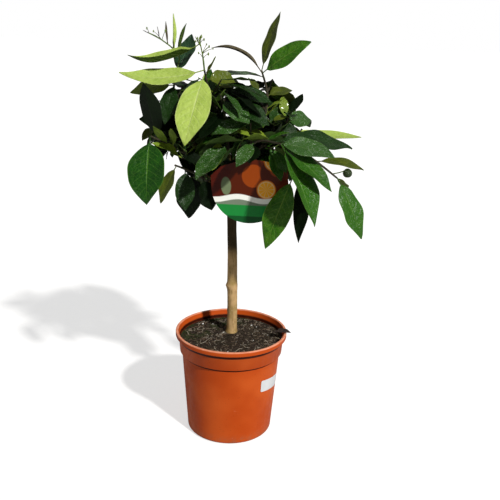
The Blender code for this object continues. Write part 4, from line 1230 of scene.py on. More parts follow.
# Each leaf: seat, tip, width, tone, roll, droop, fold and flick
SPRAYS = (
    Spray("upper_left", 3, 486, (-31, -17, 560),
          ((-37, -25, 585), (-44, -36, 614), (-50, -50, 645)),
          leaves=(
              Leaf(0.95, (-73, -125, 538), 53, YOUNG, -4, 18, 10),
              Leaf(1.0, (-178, -70, 635), 36, YOUNG, -42, -40, 12, 5),
              Leaf(0.85, (-1, -14, 624), 34, OLIVE, 50, 28, 14),
              Leaf(0.9, (-32, -60, 666), 18, OLIVE, 30, -8, 14),
          ),
          shoots=(
              Shoot(1.0, ((-53, -50, 668), (-58, -49, 688)), (
                  Leaf(0.9, (-163, -56, 651), 32, YOUNG, -10, -36, 42, 14),
                  Leaf(0.55, (-44, -50, 679), 5, LIME, 0, 10),
                  Leaf(0.8, (-64, -52, 694), 5, LIME, 0, -10),
                  Leaf(1.0, (-55, -46, 697), 5, LIME, 0, 5),
              ), (1.4, 0.9)),
          )),
    Spray("upper_right", 8, 490, (26, -24, 540),
          ((42, -40, 560), (48, -36, 585), (49, -16, 612), (39, -10, 645)),
          leaves=(
              Leaf(1.0, (66, 18, 736), 30, OLIVE, -12, 8, 14),
              Leaf(0.97, (113, -42, 692), 36, BRIGHT, 62, 22),
              Leaf(0.95, (-43, 0, 677), 12, BRONZE, -12, 76, 36),
              Leaf(0.8, (9, 34, 612), 32, DEEP, -20, 24),
              Leaf(0.7, (90, 0, 615), 26, OLIVE, 24, 34),
              Leaf(0.42, (68, -52, 600), 12, LIME, 30, -12),
              Leaf(0.52, (78, -34, 604), 12, LIME, 10, 14),
          )),
    Spray("front_right", 21, 455, (6, -34, 514), ((21, -49, 530), (43, -63, 541), (72, -90, 540)),
          leaves=(
              Leaf(1.0, (126, -140, 424), 58, MID, -6, 16, 24),
              Leaf(0.97, (151, -120, 475), 40, MID, 20, 18, 14),
              Leaf(0.93, (154, -100, 524), 40, SILVER, 34),
              Leaf(0.86, (190, -30, 527), 44, DARK, 32, 34, 14),
              Leaf(0.74, (84, -70, 556), 20, MID, 10, 14),
              Leaf(0.48, (4, -110, 506), 23, SILVER, -24, 20, 16),
              Leaf(0.44, (24, -72, 506), 32, DEEP, 0, 14),
          )),
    Spray("right", 5, 440, (78, -30, 530), ((104, -50, 524), (136, -62, 506), (164, -70, 486)),
          leaves=(
              Leaf(1.0, (206, -92, 393), 40, MID, 26, 20, 14),
              Leaf(0.6, (207, -60, 498), 26, OLIVE, 20, 34, 16),
              Leaf(0.95, (184, -56, 466), 24, LIME, 0, 8),
              Leaf(0.5, (107, -80, 380), 30, DEEP, 0, 10, 14),
          ),
          shoots=(
              Shoot(0.25, ((99, -62, 508), (94, -78, 489)), (
                  Leaf(1.0, (53, -108, 377), 46, BRIGHT, -22, 10, 10),
              ), (1.4, 1.0)),
          ),
          fruit=(0.9, (180, -68, 494))),
    Spray("front_upper_right", 13, 474, (36, -24, 520),
          ((56, -32, 538), (76, -36, 556), (86, -32, 580)),
          leaves=(
              Leaf(0.45, (93, -62, 577), 24, SILVER, 24, 18),
              Leaf(0.42, (208, 0, 541), 32, YOUNG, 20, 10, 12, 2),
              Leaf(0.85, (121, -22, 571), 34, SILVER, 44, 30),
              Leaf(1.0, (108, 10, 609), 18, DEEP, 0, 6),
              Leaf(0.72, (124, 16, 566), 38, DARK, 10, 34),
          )),
    Spray("front", 34, 470, (-11, -38, 522), ((-14, -48, 552), (-19, -54, 588), (-24, -52, 608)),
          leaves=(
              Leaf(0.86, (22, -92, 569), 36, SILVER, 14, 14),
              Leaf(0.1, (-56, -120, 486), 36, SILVER, -6, 16),
              Leaf(0.6, (-52, -92, 545), 34),
              Leaf(0.45, (24, -74, 548), 20, LIME, 10),
          ),
          shoots=(
              Shoot(1.0, ((-16, -58, 618),), (
                  Leaf(1.0, (40, -70, 578), 24, DEEP, 8, 24),
                  Leaf(0.5, (12, -96, 584), 14, SILVER, -6),
              )),
          )),
    Spray("left", 55, 468, (-84, -27, 556), ((-93, -32, 576), (-99, -41, 602), (-97, -37, 630)),
          leaves=(
              Leaf(0.88, (-168, -36, 606), 34, LIME, -45, 30),
              Leaf(0.02, (-154, -40, 566), 40, DEEP, -52, 24),
              Leaf(0.92, (-110, -66, 562), 30, DARK, -8, 12),
          ),
          shoots=(
              Shoot(1.0, ((-92, -32, 652), (-93, -30, 668), (-119, -30, 688), (-138, -30, 697)), (
                  Leaf(0.56, (-101, -22, 727), 8, YOUNG, 40, 6, 24),
                  Leaf(0.42, (-79, -38, 713), 12, YOUNG, 10, 18, 24),
                  Leaf(0.58, (-99, -8, 706), 5, BRONZE, 0, -8),
                  Leaf(0.66, (-112, -28, 715), 5, BRONZE, 0, -8),
                  Leaf(0.78, (-125, -30, 707), 4, BRONZE, 0, 4),
                  Leaf(1.0, (-147, -31, 701), 4, BRONZE, 0, 0),
                  Leaf(0.1, (-74, 4, 697), 36, BLUE, 0, -16),
              )),
          )),
    Spray("lower_left", 17, 450, (-70, -31, 505),
          ((-88, -42, 518), (-110, -56, 532), (-132, -70, 543)),
          leaves=(
              Leaf(1.0, (-133, -112, 443), 64, RICH, 16, 18, 10),
              Leaf(0.82, (-138, -92, 626), 36, DEEP, 10, -8),
              Leaf(0.62, (-124, -94, 562), 13, LIME, 20, -8),
              Leaf(0.5, (-96, -104, 560), 12, LIME, -20, 16),
              Leaf(0.4, (-152, -30, 500), 36, DEEP, 0, 26),
          )),
    Spray("bottom_left", 29, 436, (-44, -34, 468),
          ((-58, -42, 478), (-76, -50, 488), (-96, -54, 496)), DEEP,
          leaves=(
              Leaf(0.95, (-117, -70, 436), 30, OLIVE, -10, 16),
              Leaf(0.5, (-73, -52, 408), 54, DEEP, -8, 14),
              Leaf(0.18, (-36, -42, 420), 36, DEEP, 68, 6),
              Leaf(0.72, (-76, -82, 428), 32, DARK, 8, 16, 14),
          )),
    Spray("back_left", 41, 458, (-58, 62, 520),
          ((-70, 76, 542), (-80, 88, 566), (-84, 96, 590)), MID),
    Spray("back_right", 62, 444, (56, 66, 514), ((68, 80, 536), (76, 90, 562), (78, 96, 588))),
    Spray("back", 77, 474, (-4, 84, 520), ((-4, 104, 534), (-4, 122, 552), (-6, 134, 574)), MID),
    Spray("low_back_left", 19, 438, (-34, 52, 474),
          ((-42, 64, 484), (-52, 78, 494), (-64, 92, 500))),
    Spray("low_back_right", 23, 432, (34, 48, 468),
          ((44, 58, 478), (56, 70, 488), (66, 84, 494)), MID),
    Spray("side_right", 91, 458, (66, 26, 496),
          ((84, 32, 510), (100, 38, 528), (112, 42, 548)), MID),
    Spray("side_left", 38, 478, (-78, 26, 514), ((-96, 28, 522), (-114, 30, 534), (-128, 30, 552))),
    Spray("top", 46, 0, (), ((-7, 10, 535), (-6, 18, 570), (-8, 24, 604))),
)


# Leaves: shares of the whole length from the seat to the tip

STALK_SHARE = 0.12
STALK_WIDTH = 2.0 * MM
STALK_THICKNESS = 2.0 * MM
NEAR_STATIONS = (0.0, STALK_SHARE, 0.22, 0.46, 0.76)
FAR_STATIONS = (0.0, 0.33, 0.68)
BLADE_THICKNESS = 1.4 * MM
BLADE_THICKNESS_SHARE = 0.0105
BASE_POWER = 0.65
TIP_POWER = 0.75
FLICK_START = 0.65
POINT_START = 0.60
POINT_DEPTH = 0.42
STAND_OFF = 0.5 * MM
TWIG_SIDES = 3


def past(share: float, start: float) -> float:
    """Give how far a share lies past a start, as a share of what is left, from 0 up."""
    return max(0.0, (share - start) / (1.0 - start))


def blade_share(u: float) -> float:
    """Give a leaf's half width at a share of its blade, as a share of the widest."""
    widest = BASE_POWER / (BASE_POWER + TIP_POWER)
    most = widest**BASE_POWER * (1.0 - widest) ** TIP_POWER
    return u**BASE_POWER * (1.0 - u) ** TIP_POWER / most


@dataclass(frozen=True)
class Room:
    """The room that a limb or a leaf fills: its owner, its blade, the whole, and a ball round it."""

    owner: str
    blade: BVHTree
    whole: BVHTree
    middle: Vector
    reach: float
    limb: bool = False


def limb_room(owner: str, path: Path, radii: list[float]) -> Room:
    """Give the room that a limb fills, grown by the stand-off all over."""
    tree = room_tree(tube_rings(path, [radius + STAND_OFF for radius in radii], TWIG_SIDES + 2))
    middle = (path.points[0] + path.points[-1]) / 2.0
    reach = max((point - middle).length for point in path.points) + max(radii) * 2.0
    return Room(owner, tree, tree, middle, reach, True)


@dataclass(frozen=True)
class Blade:
    """A leaf in its place: its seat, its tip and how it bends."""

    seat: Vector
    tip: Vector
    width: float
    roll: float
    droop: float
    flick: float
    fold: float
    stations: tuple[float, ...]
    tone: Tone = DARK
    by_hand: bool = False

    def frame(self, share: float) -> tuple[Vector, Vector, Vector]:
        """Give the midrib's place, the upper side's direction and the side at a share."""
        chord = self.tip - self.seat
        along = chord.normalized()
        above = (UP - along * along.z).normalized()
        above.rotate(Quaternion(along, radians(self.roll)))
        side = along.cross(above)
        bend = radians(self.droop)
        if abs(bend) < 1e-3:
            bend = 1e-3
        radius = chord.length / (2.0 * sin(bend / 2.0))
        angle = bend * (share - 0.5)
        ahead = radius * (sin(angle) + sin(bend / 2.0))
        rise = radius * (cos(angle) - cos(bend / 2.0))
        rise += self.flick * past(share, FLICK_START) ** 2
        spot = self.seat + along * ahead + above * rise
        return spot, above * cos(angle) + along * sin(angle), side

    def grown(self, blade_only: bool) -> BVHTree:
        """Give the solid leaf grown by the stand-off, for testing what it would touch.

        Args:
            blade_only: Whether its stalk is left out.

        Returns:
            The room that it fills.
        """
        rings = []
        shares = [share for share in self.stations if share > STALK_SHARE or not blade_only]
        for share in (*shares, 1.0):
            spot, above, side = self.frame(share)
            half, thick, lift = STALK_WIDTH / 2.0, STALK_THICKNESS, 0.0
            if share > STALK_SHARE:
                half = max(self.width / 2.0 * blade_share(past(share, STALK_SHARE)), half)
                thick = max(BLADE_THICKNESS, BLADE_THICKNESS_SHARE * (self.tip - self.seat).length)
            half = (half if share < 1.0 else 0.0) + STAND_OFF
            if share > STALK_SHARE:
                lift = half * tan(radians(self.fold))
            high = above * (thick / 2.0 + STAND_OFF)
            left, right = above * lift - side * half, above * lift + side * half
            rings.append([spot + left + high, spot + left - high, spot - high,
                          spot + right - high, spot + right + high, spot + high])
        return room_tree(rings)

    def room(self, owner: str) -> Room:
        """Give the room that the leaf fills."""
        chord = self.tip - self.seat
        reach = chord.length * 0.62 + self.width * 0.6 + abs(self.flick) + 2.0 * MM
        return Room(owner, self.grown(True), self.grown(False), self.seat + chord * 0.5, reach)


# Growth

CROWN_MIDDLE = Vector((-0.015, 0.015, 0.535))
CROWN_RADII = Vector((0.145, 0.165, 0.112))
CROWN_FRONT = -0.075
CROWN_BACK_HANG = 0.30
STEM_RADII = (2.8 * MM, 1.5 * MM)
STEM_SEATS = (0.08, 0.98)
TWIG_RADII = (1.5 * MM, 1.1 * MM)
TWIG_LENGTHS = (24.0 * MM, 52.0 * MM)
TWIGS_PER_MASS = 14
STEP_STRIDE = 5
TWIG_TRIES = 8
TWIG_LEAST_LEAVES = 2
TWIG_OUT = 0.9
TWIG_ALONG = 0.4
TWIG_AWAY = 0.3
TWIG_LIFT = 0.1
TWIG_RISES = (-0.05, 0.25)
TWIG_SWAY = TURN * 0.3
GOLDEN_TURN = TURN * 0.382
LEAF_LENGTHS = (70.0 * MM, 104.0 * MM)
LEAF_WIDTH_SHARES = (0.42, 0.52)
LEAVES_PER_MASS = 12
LEAF_SHRINK = 0.45
LEAF_AHEAD = (0.2, 0.7)
LEAF_OUT = 0.85
LEAF_SAGS = (0.3, 0.9)
LEAF_ROLLS = (-50.0, 50.0)
LEAF_DROOPS = (12.0, 36.0)

# Finer growth, which the solids don't have
FINE_TWIGS = 26
FINE_TWIG_LENGTHS = (10.0 * MM, 28.0 * MM)
FINE_TWIG_RADII = (1.1 * MM, 0.7 * MM)
FINE_TWIG_SEATS = (0.15, 0.98)
FINE_TWIG_ALONG = (0.1, 0.8)
FINE_TWIG_RISE = 0.15

# Sights through the crown that grown leaves keep open: a place in millimetres, the radius round
# the sight, and the depth in front of which it counts. The last one is the tag's face.
EYE = Vector((0.0293, -1.15, 0.6958))
CLEAR_SIGHTS = (
    ((-122, 0, 584), 6.0, 1000.0),
    ((-109, 0, 485), 12.0, 1000.0),
    ((162, 0, 505), 6.0, 1000.0),
    ((24, -49, 452), 50.0, -47.0),
)
SIGHT_SHARES = (0.3, 0.55, 0.8, 1.0)


@dataclass(frozen=True)
class LeafRule:
    """How leaves grow on a twig: seats, size, tries for each, and if they clear all limbs."""

    seats: tuple[float, ...]
    size: float
    tries: int
    clear_limbs: bool


FULL_LEAVES = LeafRule((0.30, 0.55, 0.80, 1.0), 1.0, 18, True)
FINE_LEAVES = LeafRule((0.5, 0.8, 1.0), 0.66, 10, False)


@dataclass
class Growth:
    """A mass of foliage as it stands: its limbs and its leaves."""

    spray: Spray
    stem: Path
    stem_radii: list[float]
    stem_heading: Vector
    twigs: list[tuple[Path, list[float]]]
    blades: list[Blade]
    grown: int = 0

    @property
    def name(self) -> str:
        """The mass's name."""
        return self.spray.name

    def deal_tones(self) -> None:
        """Deal the grown leaves their tones, of those that go with the mass's own."""
        draw = Random(self.spray.seed + 500)
        tones, weights = zip(*GROWN_TONES[self.spray.tone])
        self.blades = [
            blade if blade.by_hand else replace(blade, tone=draw.choices(tones, weights)[0])
            for blade in self.blades
        ]


def in_crown(point: Vector) -> bool:
    """Say whether a place lies in the space that grown twigs and leaf tips keep to."""
    away = point - CROWN_MIDDLE
    depth = CROWN_RADII.z
    if away.z < 0.0:
        depth += CROWN_BACK_HANG * max(0.0, away.y)
    scaled = Vector((away.x / CROWN_RADII.x, away.y / CROWN_RADII.y, away.z / depth))
    return scaled.length < 1.0 and point.y > CROWN_FRONT


def blocks_view(blade: Blade) -> bool:
    """Say whether a leaf would close a gap that the sky shows through, or hide the tag's face."""
    for share in SIGHT_SHARES:
        spot = blade.frame(share)[0]
        away = spot - EYE
        half = max(blade.width / 2.0 * blade_share(past(share, STALK_SHARE)), STALK_WIDTH / 2.0)
        for middle, radius, depth in CLEAR_SIGHTS:
            sight = (place(middle) - EYE).normalized()
            off = (away - sight * away.dot(sight)).length
            if spot.y < depth * MM and off < radius * MM + half * 0.7:
                return True
    return False


def bough_path(spray: Spray) -> tuple[Path, Vector]:
    """Give the line of a bough from the trunk's axis, out first and then up, and its last heading."""
    foot = trunk_axis_at(spray.bough_height * MM)
    tip = place(spray.bough_tip)
    reach = tip - foot
    bend = foot + Vector((reach.x * BOUGH_SPREAD, reach.y * BOUGH_SPREAD, reach.z * BOUGH_RISE))
    points = [
        foot * (1 - t) ** 2 + bend * (2 * t * (1 - t)) + tip * t**2
        for t in (i / BOUGH_STEPS for i in range(BOUGH_STEPS + 1))
    ]
    return Path(points, 1), (tip - bend).normalized()


def stem_start(spray: Spray) -> tuple[Vector, Vector]:
    """Give where a mass's stem begins, just clear of what carries it, and its heading there."""
    if spray.bough_height:
        path, heading = bough_path(spray)
        return path.points[-1] + heading * GAP, heading
    heading = (TRUNK_AXIS[-1] - TRUNK_AXIS[-2]).normalized()
    return TRUNK_AXIS[-1] + heading * GAP, heading


def turned_out(heading: Vector, turn: float) -> Vector:
    """Give a direction square to a heading, turned round it."""
    out = heading.orthogonal().normalized()
    out.rotate(Quaternion(heading, turn))
    return out


def drawn_leaf(
    draw: Random, foot: Vector, heading: Vector, turn: float, size: float
) -> Blade:
    """Draw a leaf that stands out from a twig, turned round it, and hangs.

    Args:
        draw: Where its sizes are drawn from.
        foot: Its seat on the twig.
        heading: The twig's heading there.
        turn: The angle round the twig.
        size: Its size as a share of a full leaf.

    Returns:
        The leaf.
    """
    aim = heading * draw.uniform(*LEAF_AHEAD) + turned_out(heading, turn) * LEAF_OUT
    aim.z -= draw.uniform(*LEAF_SAGS)
    length = draw.uniform(*LEAF_LENGTHS) * size
    width = length * draw.uniform(*LEAF_WIDTH_SHARES)
    return Blade(foot, foot + aim.normalized() * length, width, draw.uniform(*LEAF_ROLLS),
                 draw.uniform(*LEAF_DROOPS), 0.0, 0.0, FAR_STATIONS)


class Crown:
    """The crown: what is seen from the front is placed one by one, and each mass fills its own space.
    """

    def __init__(self, sprays: tuple[Spray, ...], tag: "Tag") -> None:
        """Set out the limbs that the foliage grows from.

        Args:
            sprays: The masses of foliage.
            tag: The card that hangs among them.
        """
        trunk = Path(list(TRUNK_AXIS), 1)
        self.placed = [limb_room("trunk", trunk, [radius * MM for radius in TRUNK_RADII])]
        self.placed.append(tag.room())
        for spray in sprays:
            if spray.bough_height:
                path = bough_path(spray)[0]
                self.placed.append(limb_room("bough", path, tapered(*BOUGH_RADII, path)))
        self.growths = [self.start_growth(spray) for spray in sprays]

    def start_growth(self, spray: Spray) -> Growth:
        """Lay a mass's stem."""
        start, heading = stem_start(spray)
        path = Path([start, *(place(point) for point in spray.stem)])
        radii = tapered(*STEM_RADII, path)
        self.placed.append(limb_room(spray.name, path, radii))
        return Growth(spray, path, radii, heading, [], [])

    def fits(self, new: Room, own_limbs: bool = False) -> bool:
        """Say whether a limb or a leaf stays clear of all that is placed.

        Args:
            new: The room that it fills.
            own_limbs: Whether it has to stay clear of its own mass's limbs too.

        Returns:
            Whether it does.
        """
        for old in self.placed:
            mine = old.owner == new.owner
            if (old.middle - new.middle).length > old.reach + new.reach:
                continue
            if mine and old.limb and not own_limbs:
                continue
            if new.blade.overlap(old.blade) if mine else new.whole.overlap(old.whole):
                return False
        return True

    def grow(self) -> None:
        """Grow every mass, first as its solid grows and then to finer twigs."""
        for growth in self.growths:
            self.place_by_hand(growth)
        for step in range(TWIGS_PER_MASS):
            for growth in self.growths:
                if growth.grown < LEAVES_PER_MASS:
                    self.grow_twig(growth, step * STEP_STRIDE % TWIGS_PER_MASS)
        LOG.info("leaves as in the solids: %d", sum(len(growth.blades) for growth in self.growths))
        for step in range(FINE_TWIGS):
            for growth in self.growths:
                self.grow_finer(growth, step)
        for growth in self.growths:
            growth.deal_tones()
        LOG.info("leaves in all: %d", sum(len(growth.blades) for growth in self.growths))

    def place_leaf(self, growth: Growth, path: Path, leaf: Leaf) -> None:
        """Add a listed leaf, where it stays clear."""
        blade = Blade(path.at(leaf.seat)[0], place(leaf.tip), leaf.width * MM, leaf.roll, leaf.droop,
                      leaf.flick * MM, leaf.fold, NEAR_STATIONS, leaf.tone, True)
        room = blade.room(growth.name)
        if self.fits(room):
            self.placed.append(room)
            growth.blades.append(blade)

    def place_by_hand(self, growth: Growth) -> None:
        """Add the listed leaves and shoots."""
        for leaf in growth.spray.leaves:
            self.place_leaf(growth, growth.stem, leaf)
        for shoot in growth.spray.shoots:
            foot = growth.stem.at(shoot.seat)[0]
            path = Path([foot, *(place(point) for point in shoot.route)], 2)
            self.keep(growth, path, tapered(shoot.radii[0] * MM, shoot.radii[1] * MM, path), [])
            for leaf in shoot.leaves:
                self.place_leaf(growth, path, leaf)

    def keep(self, growth: Growth, path: Path, radii: list[float], leaves: list[Blade]) -> None:
        """Keep a twig and its leaves."""
        self.placed.append(limb_room(growth.name, path, radii))
        growth.twigs.append((path, radii))
        growth.blades += leaves

    def twig_fits(self, growth: Growth, path: Path, radii: list[float]) -> bool:
        """Say whether a twig ends in the crown and stays clear."""
        return in_crown(path.points[-1]) and self.fits(limb_room(growth.name, path, radii))

    @staticmethod
    def drawn_twig(growth: Growth, draw: Random, step: int) -> Path:
        """Draw a side twig that leaves the stem outwards."""
        first, last = STEM_SEATS
        seat = first + (last - first) * (step + 0.5 * draw.random()) / TWIGS_PER_MASS
        foot, along = growth.stem.at(seat)
        out = turned_out(along, GOLDEN_TURN * step + TWIG_SWAY * draw.random())
        away = (foot - CROWN_MIDDLE).normalized()
        heading = out * TWIG_OUT + along * TWIG_ALONG + away * TWIG_AWAY + UP * TWIG_LIFT
        heading.normalize()
        length = draw.uniform(*TWIG_LENGTHS)
        rise = UP * length * draw.uniform(*TWIG_RISES)
        return Path([foot, foot + heading * length * 0.5, foot + heading * length + rise], 2)

    def grow_leaves(
        self, growth: Growth, draw: Random, path: Path, rule: LeafRule
    ) -> list[Blade]:
        """Grow a leaf at each seat on a twig, from the first of a few draws that finds room.

        Args:
            growth: The mass that the twig belongs to.
            draw: Where the leaves are drawn from.
            path: The twig's middle line.
            rule: How they grow.

        Returns:
            The leaves that found room.
        """
        twig = limb_room(growth.name, path, tapered(*TWIG_RADII, path)).whole
        grown = []
        for i, share in enumerate(rule.seats):
            foot, heading = path.at(share)
            for attempt in range(rule.tries):
                size = rule.size * (1.0 - LEAF_SHRINK * attempt / rule.tries)
                turn = GOLDEN_TURN * i + GOLDEN_TURN * attempt
                blade = drawn_leaf(draw, foot, heading, turn, size)
                if not in_crown(blade.tip) or blocks_view(blade):
                    continue
                room = blade.room(growth.name)
                if rule.clear_limbs and room.blade.overlap(twig):
                    continue
                if self.fits(room, rule.clear_limbs):
                    self.placed.append(room)
                    grown.append(blade)
                    break
        return grown

    def grow_twig(self, growth: Growth, step: int) -> None:
        """Grow one side twig with its leaves, where there is room for enough of them."""
        draw = Random(growth.spray.seed * 100 + step)
        for _ in range(TWIG_TRIES):
            path = self.drawn_twig(growth, draw, step)
            radii = tapered(*TWIG_RADII, path)
            if not self.twig_fits(growth, path, radii):
                continue
            leaves = self.grow_leaves(growth, draw, path, FULL_LEAVES)
            if len(leaves) >= TWIG_LEAST_LEAVES:
                self.keep(growth, path, radii, leaves)
                growth.grown += len(leaves)
                return

    def grow_finer(self, growth: Growth, step: int) -> None:
        """Grow a short twig of smaller leaves from a limb of the mass, where there is room."""
        draw = Random(growth.spray.seed * 1000 + step)
        carriers = [growth.stem, *(twig for twig, _ in growth.twigs)]
        carrier = carriers[draw.randrange(len(carriers))]
        foot, along = carrier.at(draw.uniform(*FINE_TWIG_SEATS))
        out = turned_out(along, draw.uniform(0.0, TURN))
        heading = (out + along * draw.uniform(*FINE_TWIG_ALONG)).normalized()
        length = draw.uniform(*FINE_TWIG_LENGTHS)
        tip = foot + heading * length + UP * length * FINE_TWIG_RISE
        path = Path([foot, foot + heading * length * 0.5, tip], 2)
        radii = tapered(*FINE_TWIG_RADII, path)
        if self.twig_fits(growth, path, radii):
            leaves = self.grow_leaves(growth, draw, path, FINE_LEAVES)
            if leaves:
                self.keep(growth, path, radii, leaves)


# Dressing the crown

HALF_CELL = 0.215
RIM_CELL = 0.012
LEAF_HALF_THICKNESS = 0.22 * MM
LEAST_HALF_WIDTH = 0.35 * MM
STALK_HALF_THICKNESS = 0.85 * MM
STALK_HALF_WIDTH = 0.9 * MM
RIB_DEPTH = 0.55 * MM
RIB_HALF_WIDTH = 1.6 * MM
FULL_WIDTH = 0.04


@dataclass(frozen=True)
class Sheet:
    """The flat closed leaf that leaves of one kind are bent from."""

    columns: int
    rows: int

    def build(self) -> Mesh:
        """Cut the sheet from a grid, its rows a little closer in the middle, and give it a back.

        Returns:
            The mesh, with x across from -1 to 1, y along from 0 to 1 and z 1 above and -1 below.
        """
        bm = bmesh.new()
        bake = bm.loops.layers.uv.new(BAKE_MAP)
        pattern = bm.loops.layers.uv.new(BLADE_MAP)
        bmesh.ops.create_grid(bm, x_segments=self.columns, y_segments=self.rows, size=1.0)
        for vert in bm.verts:
            share = (vert.co.y + 1.0) / 2.0
            vert.co.y = share + 0.035 * sin(TURN * share)
            vert.co.z = 1.0
        back = set(extruded(bm, bm.faces[:]))
        for vert in back:
            vert.co.z = -1.0
        for face in bm.faces:
            below, corners = sum(vert in back for vert in face.verts), len(face.verts)
            face.material_index = min(below, 1)
            side = 0.25 if below < corners else 0.75
            for loop in face.loops:
                x, y, z = loop.vert.co
                loop[pattern].uv = (0.5 + BLADE_MAP_HALF * x, y)
                out = RIM_CELL if 0 < below < corners and z < 0.0 else 0.0
                up = 0.5 + (y - 0.5) * 2.0 * (HALF_CELL * 2.0 + out)
                loop[bake].uv = (side + (HALF_CELL + out) * x, up)
        return mesh_of(bm)


SHEETS = {True: Sheet(12, 22), False: Sheet(4, 8)}


class Bend:
    """How one leaf's surface is shaped, beyond the line of its midrib."""

    def __init__(self, draw: Random, blade: Blade) -> None:
        """Draw a leaf's waves, cup, twist, pucker and fold, in keeping with its size."""
        size = min(1.0, blade.width / FULL_WIDTH) * MM
        self.width = blade.width
        self.wave = draw.uniform(1.2, 3.0) * size
        self.waves = draw.uniform(1.6, 2.8)
        self.phase = draw.uniform(0.0, TURN)
        self.cup = draw.uniform(-0.04, 0.16)
        self.twist = radians(draw.uniform(-12.0, 12.0))
        self.pucker = draw.uniform(0.25, 0.6) * size
        self.fold = radians(blade.fold or draw.uniform(6.0, 20.0))

    def section(self, x: float, share: float, z: float) -> Pair:
        """Place one corner of a sheet in the leaf's cross section.

        Args:
            x: Where it lies across the leaf, from -1 to 1.
            share: Its share of the leaf's length.
            z: 1 above and -1 below.

        Returns:
            Half the leaf's width there, and the corner's height over the midrib's line.
        """
        if share <= STALK_SHARE + 1e-4:
            thick = STALK_HALF_THICKNESS * sqrt(max(0.15, 1.0 - x * x))
            return STALK_HALF_WIDTH, z * thick
        u = min(past(share, STALK_SHARE), 1.0)
        point = 1.0 - POINT_DEPTH * past(u, POINT_START) ** 1.5
        half = max(self.width / 2.0 * blade_share(u) * point, LEAST_HALF_WIDTH)
        opened = min(1.0, (share - STALK_SHARE) / 0.12)
        right = 1.0 if x > 0.0 else 0.0
        lift = half * tan(self.fold) * (sqrt(x * x + 0.02) - 0.14) * opened
        lift -= self.cup * half * x * x * opened
        swell = sin(TURN * self.waves * share + self.phase + 1.3 * right)
        lift += self.wave * swell * x * x * opened * (1.0 - share * 0.5)
        ridge = sin(TURN * (VEINS_PER_LEAF * (share - 0.16 * abs(x)) + 0.5 * right))
        lift += self.pucker * ridge * 4.0 * abs(x) * (1.0 - abs(x)) * opened * (1.0 - share)
        rib = max(0.0, 1.0 - abs(x) * half / RIB_HALF_WIDTH) * (1.0 - 0.7 * share)
        thick = LEAF_HALF_THICKNESS + (RIB_DEPTH * rib if z <= 0.0 else 0.0)
        return half, lift + z * thick - 0.2 * MM * rib


